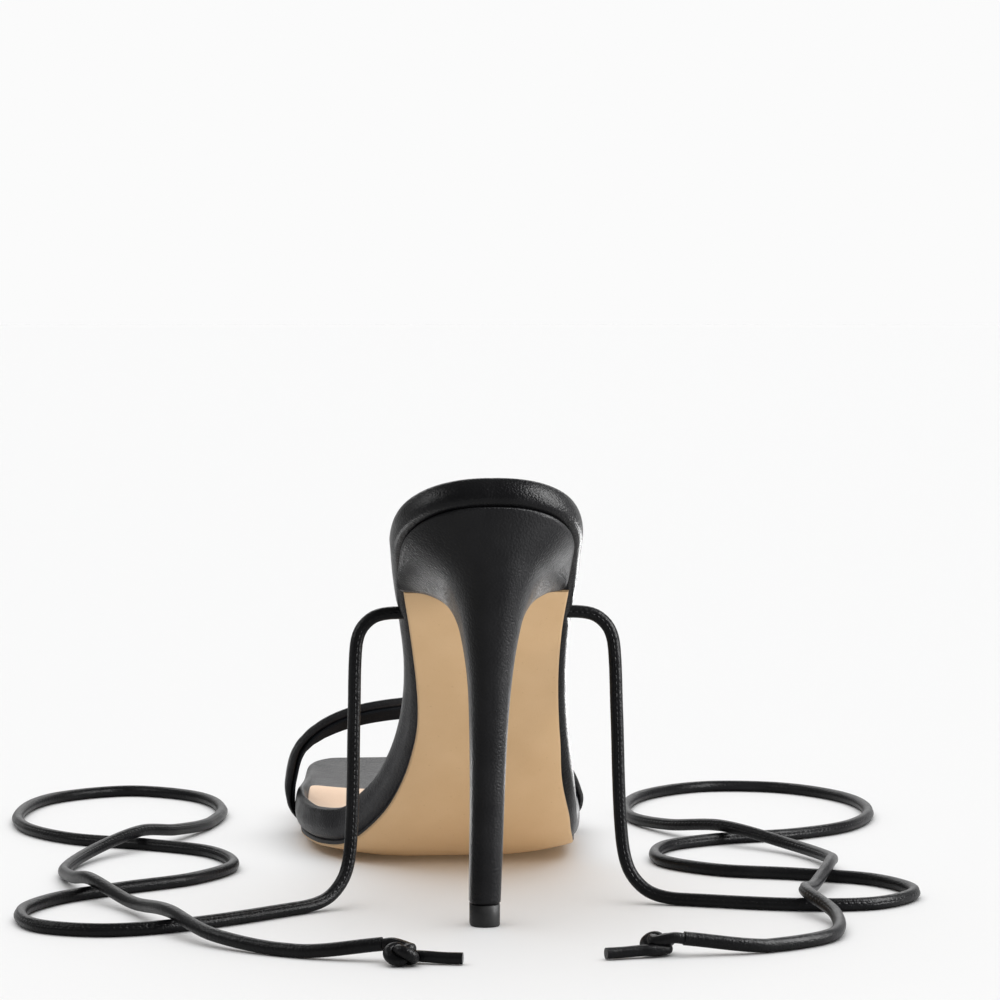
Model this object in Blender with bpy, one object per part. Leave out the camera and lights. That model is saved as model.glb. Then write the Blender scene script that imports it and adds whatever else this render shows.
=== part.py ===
"""Square toe stiletto sandal with a toe strap and two long ankle ties, for the right foot.

Sizes in the tables are millimetres. The solids are in metres: +Z is up from the floor, +Y runs
from the heel to the toe and +X points to the outer side of the foot.
"""

import math
from typing import NamedTuple

import bmesh
import bpy
from mathutils import Vector

MM = 0.001
GAP = 0.3
SHARP_DEGREES = 40.0

# Where the back of the heel seat lies in the shared frame, whose origin is under the box's middle
SEAT_BACK_X = 3.64
SEAT_BACK_Y = -111.973


class SlopeRow(NamedTuple):
    """Slope of the sole at a distance along it from the back of the heel."""

    along: float
    degrees: float


class LiftRow(NamedTuple):
    """Height or depth that holds at a distance along the sole."""

    along: float
    amount: float


class EdgeRow(NamedTuple):
    """Widest edges of the footbed at a distance along the sole."""

    along: float
    medial: float
    lateral: float


class WallRow(NamedTuple):
    """One step of a slab's edge: how far inside the footbed's edge, how far above the tread,
    and the share of the tuck under the medial waist that it takes."""

    inset: float
    height: float
    tuck: float = 0.0


class HeelRow(NamedTuple):
    """One section of the heel between its back line and its breast line, seen from the side."""

    back_y: float
    back_z: float
    breast_y: float
    breast_z: float
    half_width: float
    centre_x: float
    widest: float


class StrapRow(NamedTuple):
    """Foot of the toe strap on the footbed's edge: outwards of the edge, up, thickness."""

    outwards: float
    up: float
    thickness: float


class KnotRow(NamedTuple):
    """One ring of a knot and its cut end: how far beyond the tie's end, how thick."""

    along: float
    radius: float


class Finish(NamedTuple):
    """Plain colour and roughness of one material."""

    colour: tuple
    roughness: float


class RoutePoint(NamedTuple):
    """One hand placed point of a tie's middle line, in the shared frame."""

    x: float
    y: float
    z: float


# Side view of the sole, positive slope falls towards the toe
SOLE_SLOPES = (
    SlopeRow(along=0.0, degrees=31.0),
    SlopeRow(along=46.0, degrees=32.5),
    SlopeRow(along=66.0, degrees=45.0),
    SlopeRow(along=84.0, degrees=51.5),
    SlopeRow(along=128.0, degrees=51.5),
    SlopeRow(along=148.0, degrees=39.0),
    SlopeRow(along=169.0, degrees=6.0),
    SlopeRow(along=177.0, degrees=0.0),
    SlopeRow(along=208.0, degrees=0.0),
    SlopeRow(along=237.0, degrees=-9.0),
    SlopeRow(along=275.0, degrees=-14.0),
)
SOLE_STEP = 0.5
TREAD_ALONG = 193.0

# How far the bottom's edges curl up from its flat middle
SOLE_CROWN = (
    LiftRow(along=50.0, amount=0.0),
    LiftRow(along=124.0, amount=2.2),
    LiftRow(along=170.0, amount=3.6),
    LiftRow(along=214.0, amount=3.4),
    LiftRow(along=246.0, amount=0.8),
)
CROWN_FLAT = 0.3

# How far the lower edges draw in under the medial arch
WAIST_TUCK = (
    LiftRow(along=76.0, amount=0.0),
    LiftRow(along=110.0, amount=1.5),
    LiftRow(along=132.0, amount=2.0),
    LiftRow(along=176.0, amount=0.0),
)

# Plan view of the footbed, laid flat
FOOTBED_EDGES = (
    EdgeRow(along=28.0, medial=-24.6, lateral=24.6),
    EdgeRow(along=48.0, medial=-22.9, lateral=24.7),
    EdgeRow(along=66.0, medial=-20.4, lateral=24.9),
    EdgeRow(along=84.0, medial=-18.3, lateral=25.5),
    EdgeRow(along=102.0, medial=-18.2, lateral=26.9),
    EdgeRow(along=118.0, medial=-20.3, lateral=28.9),
    EdgeRow(along=132.0, medial=-24.5, lateral=31.0),
    EdgeRow(along=146.0, medial=-30.0, lateral=32.6),
    EdgeRow(along=160.0, medial=-36.0, lateral=33.9),
    EdgeRow(along=174.0, medial=-41.2, lateral=35.6),
    EdgeRow(along=190.0, medial=-44.3, lateral=37.3),
    EdgeRow(along=206.0, medial=-44.6, lateral=37.7),
    EdgeRow(along=222.0, medial=-43.5, lateral=35.6),
    EdgeRow(along=242.0, medial=-41.0, lateral=30.4),
    EdgeRow(along=262.0, medial=-38.6, lateral=25.0),
)
HEEL_CENTRE = 28.0
HEEL_HALF_WIDTH = 24.6
HEEL_SQUARE = 2.3
HEEL_FIRST_ANGLE = 8.0
HEEL_ROWS = 8
MIDDLE_STEP = 7.0
TOE_END = 262.0
TOE_CORNER = 11.0
TOE_ROWS = 5
TOE_SKEW = 0.085
TOE_BULGE = 2.2
TOE_SHAPED_FROM = 216.0
ACROSS = 8

# Layers of the bottom, heights above the tread
OUTSOLE_THICK = 1.8
OUTSOLE_INSET = 2.7
OUTSOLE_BEVEL = 0.4
OUTSOLE_WALL = (
    WallRow(inset=OUTSOLE_INSET + OUTSOLE_BEVEL, height=0.0, tuck=1.0),
    WallRow(inset=OUTSOLE_INSET, height=OUTSOLE_BEVEL, tuck=1.0),
    WallRow(inset=OUTSOLE_INSET, height=OUTSOLE_THICK, tuck=1.0),
)
FOOTBED_LOW = OUTSOLE_THICK + GAP
FOOTBED_HIGH = 9.5
FOOTBED_WALL = (
    WallRow(inset=3.0, height=FOOTBED_LOW, tuck=0.9),
    WallRow(inset=1.3, height=2.9, tuck=0.6),
    WallRow(inset=0.35, height=4.3, tuck=0.25),
    WallRow(inset=0.0, height=5.9),
    WallRow(inset=0.35, height=7.5),
    WallRow(inset=1.3, height=8.8),
    WallRow(inset=2.8, height=FOOTBED_HIGH),
)
FOOTBED_DISH = 0.5
SOCK_INSET = 4.6
SOCK_THICK = 0.9
SOCK_END = 234.0
SOCK_CORNER = 13.0
SOCK_BEVEL = 0.4
SOCK_LOW = FOOTBED_HIGH + GAP
SOCK_HIGH = SOCK_LOW + SOCK_THICK
SOCK_WALL = (
    WallRow(inset=SOCK_INSET, height=SOCK_LOW),
    WallRow(inset=SOCK_INSET, height=SOCK_HIGH - SOCK_BEVEL),
    WallRow(inset=SOCK_INSET + SOCK_BEVEL, height=SOCK_HIGH),
)

# Heel from its tip to just under the seat; the seat itself follows the footbed's underside
BREAST_ALONG = 46.0
HEEL_INSET = 3.2
TIP_SEAM = 5.6
TIP_TOP = TIP_SEAM + GAP
HEEL_SECTIONS = (
    HeelRow(back_y=12.9, back_z=TIP_TOP, breast_y=21.5, breast_z=TIP_TOP,
            half_width=4.0, centre_x=-1.1, widest=0.5),
    HeelRow(back_y=12.5, back_z=18.0, breast_y=21.5, breast_z=18.0,
            half_width=4.15, centre_x=-0.8, widest=0.5),
    HeelRow(back_y=12.0, back_z=34.0, breast_y=21.8, breast_z=33.5,
            half_width=4.35, centre_x=-0.45, widest=0.5),
    HeelRow(back_y=11.2, back_z=49.5, breast_y=22.5, breast_z=48.0,
            half_width=4.75, centre_x=-0.15, widest=0.5),
    HeelRow(back_y=10.2, back_z=63.0, breast_y=23.7, breast_z=59.7,
            half_width=5.45, centre_x=0.2, widest=0.5),
    HeelRow(back_y=8.9, back_z=75.0, breast_y=25.8, breast_z=68.6,
            half_width=6.8, centre_x=0.45, widest=0.5),
    HeelRow(back_y=7.3, back_z=85.5, breast_y=28.9, breast_z=75.3,
            half_width=8.8, centre_x=0.7, widest=0.52),
    HeelRow(back_y=5.8, back_z=94.0, breast_y=32.7, breast_z=79.5,
            half_width=12.0, centre_x=0.9, widest=0.54),
    HeelRow(back_y=4.6, back_z=100.0, breast_y=36.6, breast_z=82.0,
            half_width=16.9, centre_x=0.7, widest=0.55),
)
HEEL_SECTION_ROWS = 11
HEEL_LEVELS = 20
BREAST_SQUARE = 5.0
BREAST_EDGE = 0.62
TIP_BEVEL = 0.4

# Toe strap, the upper of this sandal
STRAP_ALONG_MEDIAL = 214.0
STRAP_ALONG_LATERAL = 213.0
STRAP_WIDTH = 10.0
STRAP_THICK_MEDIAL = 3.3
STRAP_THICK_LATERAL = 2.6
STRAP_TOP_THICK = 4.2
STRAP_ROUND = 1.1
STRAP_ROUND_MOST = 0.8
STRAP_FULLNESS = 1.12
STRAP_MEDIAL = -45.7
STRAP_LATERAL = 38.5
STRAP_WIDEST_MEDIAL = 16.0
STRAP_WIDEST_LATERAL = 11.2
STRAP_TOP_UP = 38.2
STRAP_SQUARE_MEDIAL = 2.38
STRAP_SQUARE_LATERAL = 1.6
STRAP_LEAN = 25.0
STRAP_LEAN_FROM = 20.0
STRAP_BACKWARD = 7.0
STRAP_BACKWARD_FROM = 9.0
STRAP_KEY_ANGLES = 9
STRAP_STATIONS = 44
STRAP_FOOT_MEDIAL = (
    StrapRow(outwards=-0.6, up=2.4, thickness=1.2),
    StrapRow(outwards=0.55, up=4.0, thickness=1.5),
    StrapRow(outwards=1.35, up=6.2, thickness=2.1),
)
STRAP_FOOT_LATERAL = (
    StrapRow(outwards=-0.8, up=2.0, thickness=1.2),
    StrapRow(outwards=0.4, up=3.3, thickness=1.5),
    StrapRow(outwards=1.15, up=4.9, thickness=2.0),
)

# Ankle ties, let down on the floor
TIE_DIAMETER = 3.4
TIE_SLOT_ALONG = 62.0
TIE_SLOT_HEIGHT = 4.0
TIE_SLOT_RADIUS = 2.1
TIE_SLOT_DEPTH = 6.0
TIE_SLOT_PAST = 6.0
TIE_SLOT_SIDES = 16
TIE_STEPS = 2
TIE_BEVEL_RESOLUTION = 2
TIE_CLEAR = 0.05
TIE_FLOOR = TIE_DIAMETER / 2.0 + TIE_CLEAR
TIE_OVER = TIE_FLOOR + TIE_DIAMETER + GAP
MEDIAL_TIE = (
    RoutePoint(-12.4, -57.4, 76.1),
    RoutePoint(-19.6, -57.4, 76.1),
    RoutePoint(-23.8, -57.5, 75.0),
    RoutePoint(-27.0, -57.9, 71.8),
    RoutePoint(-28.3, -58.6, 67.0),
    RoutePoint(-28.9, -60.6, 50.0),
    RoutePoint(-29.8, -63.6, 20.0),
    RoutePoint(-31.4, -65.8, 9.2),
    RoutePoint(-35.8, -69.2, 3.5),
    RoutePoint(-43.0, -74.6, TIE_FLOOR),
    RoutePoint(-70.0, -95.0, TIE_FLOOR),
    RoutePoint(-92.0, -103.0, TIE_FLOOR),
    RoutePoint(-110.0, -95.0, TIE_FLOOR),
    RoutePoint(-115.0, -75.0, TIE_FLOOR),
    RoutePoint(-107.0, -56.0, TIE_FLOOR),
    RoutePoint(-90.0, -41.0, TIE_FLOOR),
    RoutePoint(-71.0, -27.0, TIE_FLOOR),
    RoutePoint(-60.0, -6.0, TIE_FLOOR),
    RoutePoint(-66.0, 18.0, TIE_FLOOR),
    RoutePoint(-84.0, 33.0, TIE_FLOOR),
    RoutePoint(-106.0, 46.0, TIE_FLOOR),
    RoutePoint(-120.0, 68.0, TIE_FLOOR),
    RoutePoint(-123.0, 98.0, TIE_FLOOR),
    RoutePoint(-114.0, 128.0, TIE_FLOOR),
    RoutePoint(-91.0, 142.0, TIE_FLOOR),
    RoutePoint(-70.0, 128.0, TIE_FLOOR),
    RoutePoint(-62.0, 101.0, TIE_FLOOR),
    RoutePoint(-66.0, 72.0, TIE_FLOOR),
    RoutePoint(-76.0, 49.0, 3.4),
    RoutePoint(-86.0, 34.2, TIE_OVER),
    RoutePoint(-99.0, 15.0, 3.0),
    RoutePoint(-106.0, -9.0, TIE_FLOOR),
    RoutePoint(-103.0, -32.0, 3.4),
    RoutePoint(-98.0, -47.6, TIE_OVER),
    RoutePoint(-87.0, -70.0, 3.0),
    RoutePoint(-77.0, -98.2, TIE_OVER),
    RoutePoint(-66.0, -119.0, 3.0),
    RoutePoint(-46.0, -135.0, TIE_FLOOR),
    RoutePoint(-26.0, -142.0, 4.4),
)
LATERAL_TIE = (
    RoutePoint(23.8, -57.4, 76.1),
    RoutePoint(31.0, -57.4, 76.1),
    RoutePoint(35.2, -57.5, 75.0),
    RoutePoint(38.4, -57.9, 71.8),
    RoutePoint(39.7, -58.6, 67.0),
    RoutePoint(40.2, -60.6, 50.0),
    RoutePoint(41.0, -63.6, 20.0),
    RoutePoint(42.8, -65.4, 9.2),
    RoutePoint(47.6, -67.6, 3.5),
    RoutePoint(55.4, -70.8, TIE_FLOOR),
    RoutePoint(85.0, -81.5, TIE_FLOOR),
    RoutePoint(106.0, -81.0, TIE_FLOOR),
    RoutePoint(119.0, -65.0, TIE_FLOOR),
    RoutePoint(112.0, -45.0, TIE_FLOOR),
    RoutePoint(93.0, -34.0, TIE_FLOOR),
    RoutePoint(72.0, -25.0, TIE_FLOOR),
    RoutePoint(59.0, -7.0, TIE_FLOOR),
    RoutePoint(63.0, 16.0, TIE_FLOOR),
    RoutePoint(81.0, 29.0, TIE_FLOOR),
    RoutePoint(104.0, 36.0, TIE_FLOOR),
    RoutePoint(123.0, 51.0, TIE_FLOOR),
    RoutePoint(134.0, 78.0, TIE_FLOOR),
    RoutePoint(132.0, 108.0, TIE_FLOOR),
    RoutePoint(116.0, 131.0, TIE_FLOOR),
    RoutePoint(92.0, 136.0, TIE_FLOOR),
    RoutePoint(72.0, 121.0, TIE_FLOOR),
    RoutePoint(62.0, 97.0, TIE_FLOOR),
    RoutePoint(61.0, 72.0, TIE_FLOOR),
    RoutePoint(69.0, 49.0, 3.0),
    RoutePoint(82.0, 29.3, TIE_OVER),
    RoutePoint(98.0, 10.0, 3.0),
    RoutePoint(105.0, -14.0, 3.0),
    RoutePoint(101.0, -38.6, TIE_OVER),
    RoutePoint(93.0, -60.0, 3.0),
    RoutePoint(87.0, -82.2, TIE_OVER),
    RoutePoint(91.0, -103.0, 3.0),
    RoutePoint(86.0, -125.0, TIE_FLOOR),
    RoutePoint(68.0, -138.0, TIE_FLOOR),
    RoutePoint(47.0, -141.0, 4.4),
)
KNOT_SIDES = 14
KNOT_RINGS = (
    KnotRow(along=GAP, radius=1.9),
    KnotRow(along=1.2, radius=3.3),
    KnotRow(along=2.9, radius=4.2),
    KnotRow(along=4.5, radius=3.7),
    KnotRow(along=6.1, radius=4.2),
    KnotRow(along=7.9, radius=3.3),
    KnotRow(along=9.0, radius=2.0),
    KnotRow(along=10.2, radius=TIE_DIAMETER / 2.0),
    KnotRow(along=18.0, radius=TIE_DIAMETER / 2.0),
)

BLACK_LEATHER = Finish(colour=(0.012, 0.012, 0.013, 1.0), roughness=0.42)
BLACK_TIP = Finish(colour=(0.03, 0.03, 0.032, 1.0), roughness=0.55)
NUDE_SOCK = Finish(colour=(0.80, 0.60, 0.44, 1.0), roughness=0.5)
TAN_SOLE = Finish(colour=(0.56, 0.36, 0.19, 1.0), roughness=0.6)
METALLIC = 0.0


def ease(share):
    """Smooth step from 0 to 1."""
    held = min(1.0, max(0.0, share))
    return held * held * (3.0 - 2.0 * held)


def eased_read(rows, along):
    """Reads the second column of rows at a distance along, eased between rows, held outside."""
    if along <= rows[0][0]:
        return rows[0][1]
    for low, high in zip(rows, rows[1:]):
        if along <= high[0]:
            return low[1] + (high[1] - low[1]) * ease((along - low[0]) / (high[0] - low[0]))
    return rows[-1][1]


def curved_read(rows, at, column, key=0):
    """Reads a column of rows at a key on a smooth curve through the rows."""
    last = len(rows) - 1
    held = min(max(at, rows[0][key]), rows[last][key])
    spot = next(i for i in range(last) if held <= rows[i + 1][key])

    def tangent(i):
        low, high = rows[max(0, i - 1)], rows[min(last, i + 1)]
        return (high[column] - low[column]) / (high[key] - low[key])

    low, high = rows[spot], rows[spot + 1]
    run = high[key] - low[key]
    t = (held - low[key]) / run
    start, end = low[column], high[column]
    rise = (t ** 3 - 2 * t ** 2 + t) * run * tangent(spot)
    fall = (t ** 3 - t ** 2) * run * tangent(spot + 1)
    return (2 * t ** 3 - 3 * t ** 2 + 1) * start + rise + (3 * t ** 2 - 2 * t ** 3) * end + fall


def keyed_by_length(points):
    """Puts each point's distance along the broken line through the points before it."""
    keyed = [(0.0, *points[0])]
    for low, high in zip(points, points[1:]):
        keyed.append((keyed[-1][0] + math.dist(low, high), *high))
    return keyed


def sole_line():
    """Walks the slope table and returns the tread's (y, z, slope) at every step along it."""
    spots = []
    y = z = 0.0
    for i in range(int(SOLE_SLOPES[-1].along / SOLE_STEP) + 1):
        slope = math.radians(eased_read(SOLE_SLOPES, i * SOLE_STEP))
        middle = math.radians(eased_read(SOLE_SLOPES, (i + 0.5) * SOLE_STEP))
        spots.append((y, z, slope))
        y += SOLE_STEP * math.cos(middle)
        z -= SOLE_STEP * math.sin(middle)
    floor = spots[int(TREAD_ALONG / SOLE_STEP)][1]
    return [(y, z - floor, slope) for y, z, slope in spots]


SOLE_LINE = sole_line()


def crown(along, across):
    """Lift of the bottom near its edges."""
    medial, lateral = edge_at(along, 1), edge_at(along, 2)
    share = abs(2.0 * across - medial - lateral) / (lateral - medial)
    outer = max(0.0, share - CROWN_FLAT) / (1.0 - CROWN_FLAT)
    return eased_read(SOLE_CROWN, along) * outer ** 2


def sole_point(along, across, height):
    """Point of the bottom: along the sole, across it and square above its tread."""
    height += crown(along, across)
    at = min(max(along / SOLE_STEP, 0.0), len(SOLE_LINE) - 1.001)
    low, high = SOLE_LINE[int(at)], SOLE_LINE[int(at) + 1]
    share = at - int(at)
    y, z, slope = (a + (b - a) * share for a, b in zip(low, high))
    y += height * math.sin(slope)
    z += height * math.cos(slope)
    return Vector((SEAT_BACK_X + across, SEAT_BACK_Y + y, z)) * MM


def edge_at(along, column):
    """Edge of the footbed laid flat, column 1 medial or 2 lateral."""
    return curved_read(FOOTBED_EDGES, along, column)


def heel_stations(inset):
    """Rows round the back of the heel: (along, medial, lateral)."""
    rows = []
    for i in range(HEEL_ROWS + 1):
        angle = math.radians(HEEL_FIRST_ANGLE + (90.0 - HEEL_FIRST_ANGLE) * i / HEEL_ROWS)
        half = (HEEL_HALF_WIDTH - inset) * math.sin(angle) ** (2.0 / HEEL_SQUARE)
        back = (HEEL_CENTRE - inset) * abs(math.cos(angle)) ** (2.0 / HEEL_SQUARE)
        rows.append((HEEL_CENTRE - back, -half, half))
    return rows


def middle_stations(start, end, inset, tuck):
    """Rows of the waist and ball between start and end, both included."""
    count = max(1, round((end - start) / MIDDLE_STEP))
    rows = []
    for i in range(count + 1):
        along = start + (end - start) * i / count
        medial = edge_at(along, 1) + inset + tuck * eased_read(WAIST_TUCK, along)
        rows.append((along, medial, edge_at(along, 2) - inset))
    return rows


def toe_stations(end, corner, inset):
    """Rows of the rounded corners and the straight front edge."""
    rows = []
    radius = corner - inset
    for i in range(1, TOE_ROWS + 1):
        angle = math.radians(90.0 * i / TOE_ROWS)
        along = end - corner + radius * math.sin(angle)
        pull = inset + radius * (1.0 - math.cos(angle))
        rows.append((along, edge_at(along, 1) + pull, edge_at(along, 2) - pull))
    return rows


def slab_point(row, column, height):
    """Point of a row, column 0 on the medial edge to ACROSS on the lateral one."""
    along, medial, lateral = row
    share = column / ACROSS
    across = medial + (lateral - medial) * share
    toe = ease((along - TOE_SHAPED_FROM) / (TOE_END - TOE_SHAPED_FROM))
    bulge = TOE_BULGE * (1.0 - (2.0 * share - 1.0) ** 2)
    return sole_point(along + toe * (bulge - TOE_SKEW * across), across, height)


def dish(share):
    """Hollow of the footbed across the foot, deepest in the middle."""
    return FOOTBED_DISH * (1.0 - (2.0 * share - 1.0) ** 2)


def rim_loop(rows):
    """Row and column of each corner of a slab's edge, in order round it."""
    last = rows - 1
    loop = [(i, 0) for i in range(rows)]
    loop += [(last, j) for j in range(1, ACROSS + 1)]
    loop += [(i, ACROSS) for i in range(last - 1, -1, -1)]
    loop += [(0, j) for j in range(ACROSS - 1, 0, -1)]
    return loop


def slab(name, finish, wall, stations, dished_low=False, dished_high=False):
    """Solid between the first and last row of wall, its outline from stations(inset, tuck)."""
    mesh = bmesh.new()
    rings = []
    for level, step in enumerate(wall):
        rows = stations(step.inset, step.tuck)
        capped = level in (0, len(wall) - 1)
        hollow = (level == 0 and dished_low) or (level == len(wall) - 1 and dished_high)
        spots = rim_loop(len(rows))
        if capped:
            spots = [(i, j) for i in range(len(rows)) for j in range(ACROSS + 1)]
        ring = {}
        for i, j in spots:
            height = step.height - (dish(j / ACROSS) if hollow else 0.0)
            ring[i, j] = mesh.verts.new(slab_point(rows[i], j, height))
        rings.append(ring)
    count = len(rows)
    for cap in (rings[0], rings[-1]):
        for i in range(count - 1):
            for j in range(ACROSS):
                mesh.faces.new((cap[i, j], cap[i + 1, j], cap[i + 1, j + 1], cap[i, j + 1]))
    loop = rim_loop(count)
    for low, high in zip(rings, rings[1:]):
        for here, there in zip(loop, loop[1:] + loop[:1]):
            mesh.faces.new((low[here], low[there], high[there], high[here]))
    return solid(name, mesh, finish)


def solid(name, mesh, finish):
    """Puts a finished mesh into the scene as one named piece with its own material."""
    bmesh.ops.recalc_face_normals(mesh, faces=mesh.faces)
    data = bpy.data.meshes.new(name)
    mesh.to_mesh(data)
    mesh.free()
    piece = bpy.data.objects.new(name, data)
    bpy.context.scene.collection.objects.link(piece)
    data.materials.append(material_of(name, finish))
    data.shade_smooth()
    data.set_sharp_from_angle(angle=math.radians(SHARP_DEGREES))
    return piece


def material_of(name, finish):
    """Plain material of one piece."""
    material = bpy.data.materials.new(name)
    material.use_nodes = True
    shader = material.node_tree.nodes["Principled BSDF"]
    shader.inputs["Base Color"].default_value = finish.colour
    shader.inputs["Roughness"].default_value = finish.roughness
    shader.inputs["Metallic"].default_value = METALLIC
    return material


def full_stations(inset, tuck):
    """Outline of the whole footbed."""
    middle = middle_stations(HEEL_CENTRE, TOE_END - TOE_CORNER, inset, tuck)
    return heel_stations(inset)[:-1] + middle + toe_stations(TOE_END, TOE_CORNER, inset)


def outsole_stations(inset, tuck):
    """Outline of the outsole, which starts at the heel breast."""
    middle = middle_stations(BREAST_ALONG + GAP, TOE_END - TOE_CORNER, inset, tuck)
    return middle + toe_stations(TOE_END, TOE_CORNER, inset)


def sock_stations(inset, tuck):
    """Outline of the sock, which stops short of the toe."""
    middle = middle_stations(HEEL_CENTRE, SOCK_END - SOCK_CORNER, inset, tuck)
    corner = SOCK_CORNER + SOCK_INSET
    return heel_stations(inset)[:-1] + middle + toe_stations(SOCK_END + SOCK_INSET, corner, inset)


def heel_shape(widest):
    """Half a heel section as (share from back to breast, share of the half width)."""
    rows = []
    for i in range(HEEL_SECTION_ROWS + 1):
        angle = math.radians(HEEL_FIRST_ANGLE + (180.0 - HEEL_FIRST_ANGLE) * i / HEEL_SECTION_ROWS)
        if angle <= math.pi / 2:
            square = 2.0 / HEEL_SQUARE
            back = abs(math.cos(angle)) ** square
            rows.append((widest * (1.0 - back), math.sin(angle) ** square))
        else:
            square = 2.0 / BREAST_SQUARE
            front = abs(math.cos(angle)) ** square
            side = max(math.sin(angle), 0.0) ** square
            rows.append((widest + (1.0 - widest) * front, max(side, BREAST_EDGE)))
    return rows


def heel_ring(section):
    """Corners of one planar heel section, medial side from back to breast, then back again."""
    low = Vector((section.centre_x, section.back_y, section.back_z))
    run = Vector((0.0, section.breast_y - section.back_y, section.breast_z - section.back_z))
    shape = heel_shape(section.widest)
    across = Vector((section.half_width, 0.0, 0.0))
    frame = Vector((SEAT_BACK_X, SEAT_BACK_Y, 0.0))
    medial = [(frame + low + run * share - across * side) * MM for share, side in shape]
    lateral = [(frame + low + run * share + across * side) * MM for share, side in shape]
    return medial + lateral[::-1]


def seat_ring(height):
    """Corners of the heel's top, laid on the footbed's underside."""
    length = BREAST_ALONG - HEEL_INSET
    half = HEEL_HALF_WIDTH - HEEL_INSET
    shape = heel_shape((HEEL_CENTRE - HEEL_INSET) / length)
    medial = [sole_point(HEEL_INSET + length * share, -half * side, height) for share, side in shape]
    lateral = [sole_point(HEEL_INSET + length * share, half * side, height) for share, side in shape]
    return medial + lateral[::-1]


def ladder_loft(name, rings, finish):
    """Solid through rings of paired corners, capped rung by rung."""
    mesh = bmesh.new()
    loops = [[mesh.verts.new(spot) for spot in ring] for ring in rings]
    for low, high in zip(loops, loops[1:]):
        for i in range(len(low)):
            j = (i + 1) % len(low)
            mesh.faces.new((low[i], low[j], high[j], high[i]))
    for loop in (loops[0], loops[-1]):
        for i in range(len(loop) // 2 - 1):
            mesh.faces.new((loop[i], loop[i + 1], loop[-i - 2], loop[-i - 1]))
    return solid(name, mesh, finish)


def heel_level(share):
    """Heel section at a share of the way up the section table."""
    keyed = [(i / (len(HEEL_SECTIONS) - 1),) + tuple(row) for i, row in enumerate(HEEL_SECTIONS)]
    return HeelRow(*(curved_read(keyed, share, column + 1) for column in range(len(HeelRow._fields))))


def build_heel():
    """Covered stiletto heel, from above its top piece to the footbed's underside."""
    rings = [heel_ring(heel_level(i / HEEL_LEVELS)) for i in range(HEEL_LEVELS + 1)]
    rings.append(seat_ring(OUTSOLE_THICK))
    ladder_loft("heel", rings, BLACK_LEATHER)


def build_top_piece():
    """Wearing tip under the heel, with a small bevel at the floor."""
    tip = HEEL_SECTIONS[0]
    tread = tip._replace(back_y=tip.back_y + TIP_BEVEL, breast_y=tip.breast_y - TIP_BEVEL,
                         back_z=0.0, breast_z=0.0, half_width=tip.half_width - TIP_BEVEL)
    low = tip._replace(back_z=TIP_BEVEL, breast_z=TIP_BEVEL)
    high = tip._replace(back_z=TIP_SEAM, breast_z=TIP_SEAM)
    ladder_loft("top_piece", [heel_ring(tread), heel_ring(low), heel_ring(high)], BLACK_TIP)


def strap_keys():
    """Key points of the strap's middle line from the medial to the lateral end: x, z, thickness."""
    medial, lateral = edge_at(STRAP_ALONG_MEDIAL, 1), edge_at(STRAP_ALONG_LATERAL, 2)
    medial_low = sole_point(STRAP_ALONG_MEDIAL, medial, 0.0).z / MM
    lateral_low = sole_point(STRAP_ALONG_LATERAL, lateral, 0.0).z / MM
    middle = (STRAP_MEDIAL + STRAP_LATERAL) / 2.0
    half = (STRAP_LATERAL - STRAP_MEDIAL) / 2.0
    keys = [(medial - row.outwards, medial_low + row.up, row.thickness) for row in STRAP_FOOT_MEDIAL]
    for i in range(STRAP_KEY_ANGLES):
        angle = math.pi * i / (STRAP_KEY_ANGLES - 1)
        turn = math.cos(angle)
        power = 2.0 / (STRAP_SQUARE_MEDIAL if turn > 0.0 else STRAP_SQUARE_LATERAL)
        x = middle - half * math.copysign(abs(turn) ** power, turn)
        lift = max(math.sin(angle), 0.0) ** power
        low = STRAP_WIDEST_MEDIAL if turn > 0.0 else STRAP_WIDEST_LATERAL
        thin = STRAP_THICK_MEDIAL if turn > 0.0 else STRAP_THICK_LATERAL
        thick = thin + (STRAP_TOP_THICK - thin) * lift
        keys.append((x, low + (STRAP_TOP_UP - low) * lift, thick))
    for row in STRAP_FOOT_LATERAL[::-1]:
        keys.append((lateral + row.outwards, lateral_low + row.up, row.thickness))
    return keys


def strap_forward(x, z):
    """Place of the strap's middle line towards the toe: it slants back to its outer foot and its top."""
    medial = sole_point(STRAP_ALONG_MEDIAL, 0.0, 0.0).y / MM
    lateral = sole_point(STRAP_ALONG_LATERAL, 0.0, 0.0).y / MM
    share = min(1.0, max(0.0, (x - STRAP_MEDIAL) / (STRAP_LATERAL - STRAP_MEDIAL)))
    back = STRAP_BACKWARD * ease((z - STRAP_BACKWARD_FROM) / (STRAP_TOP_UP - STRAP_BACKWARD_FROM))
    return medial + (lateral - medial) * share - back


def strap_lean(x, z):
    """Angle by which the strap's front edge turns in, from the footbed's edge to the top."""
    column, along = (1, STRAP_ALONG_MEDIAL) if x < 0.0 else (2, STRAP_ALONG_LATERAL)
    run = STRAP_WIDTH
    turn = edge_at(along + run, column) - edge_at(along - run, column)
    foot = math.degrees(math.atan2(abs(turn), 2.0 * run))
    share = ease((z - STRAP_LEAN_FROM) / (STRAP_TOP_UP - STRAP_LEAN_FROM))
    return math.radians(foot + (STRAP_LEAN - foot) * share)


def strap_profile(thickness):
    """Corners of the strap's section: across the width, outwards through the thickness."""
    half_width, half = STRAP_WIDTH / 2.0, thickness / 2.0
    soft = min(STRAP_ROUND, STRAP_ROUND_MOST * half)
    front = [(half_width, half - soft), (half_width - soft, half)]
    outer = front + [(0.0, half * STRAP_FULLNESS)] + [(-w, t) for w, t in front[::-1]]
    return outer + [(w, -t) for w, t in outer[::-1] if w]


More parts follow.
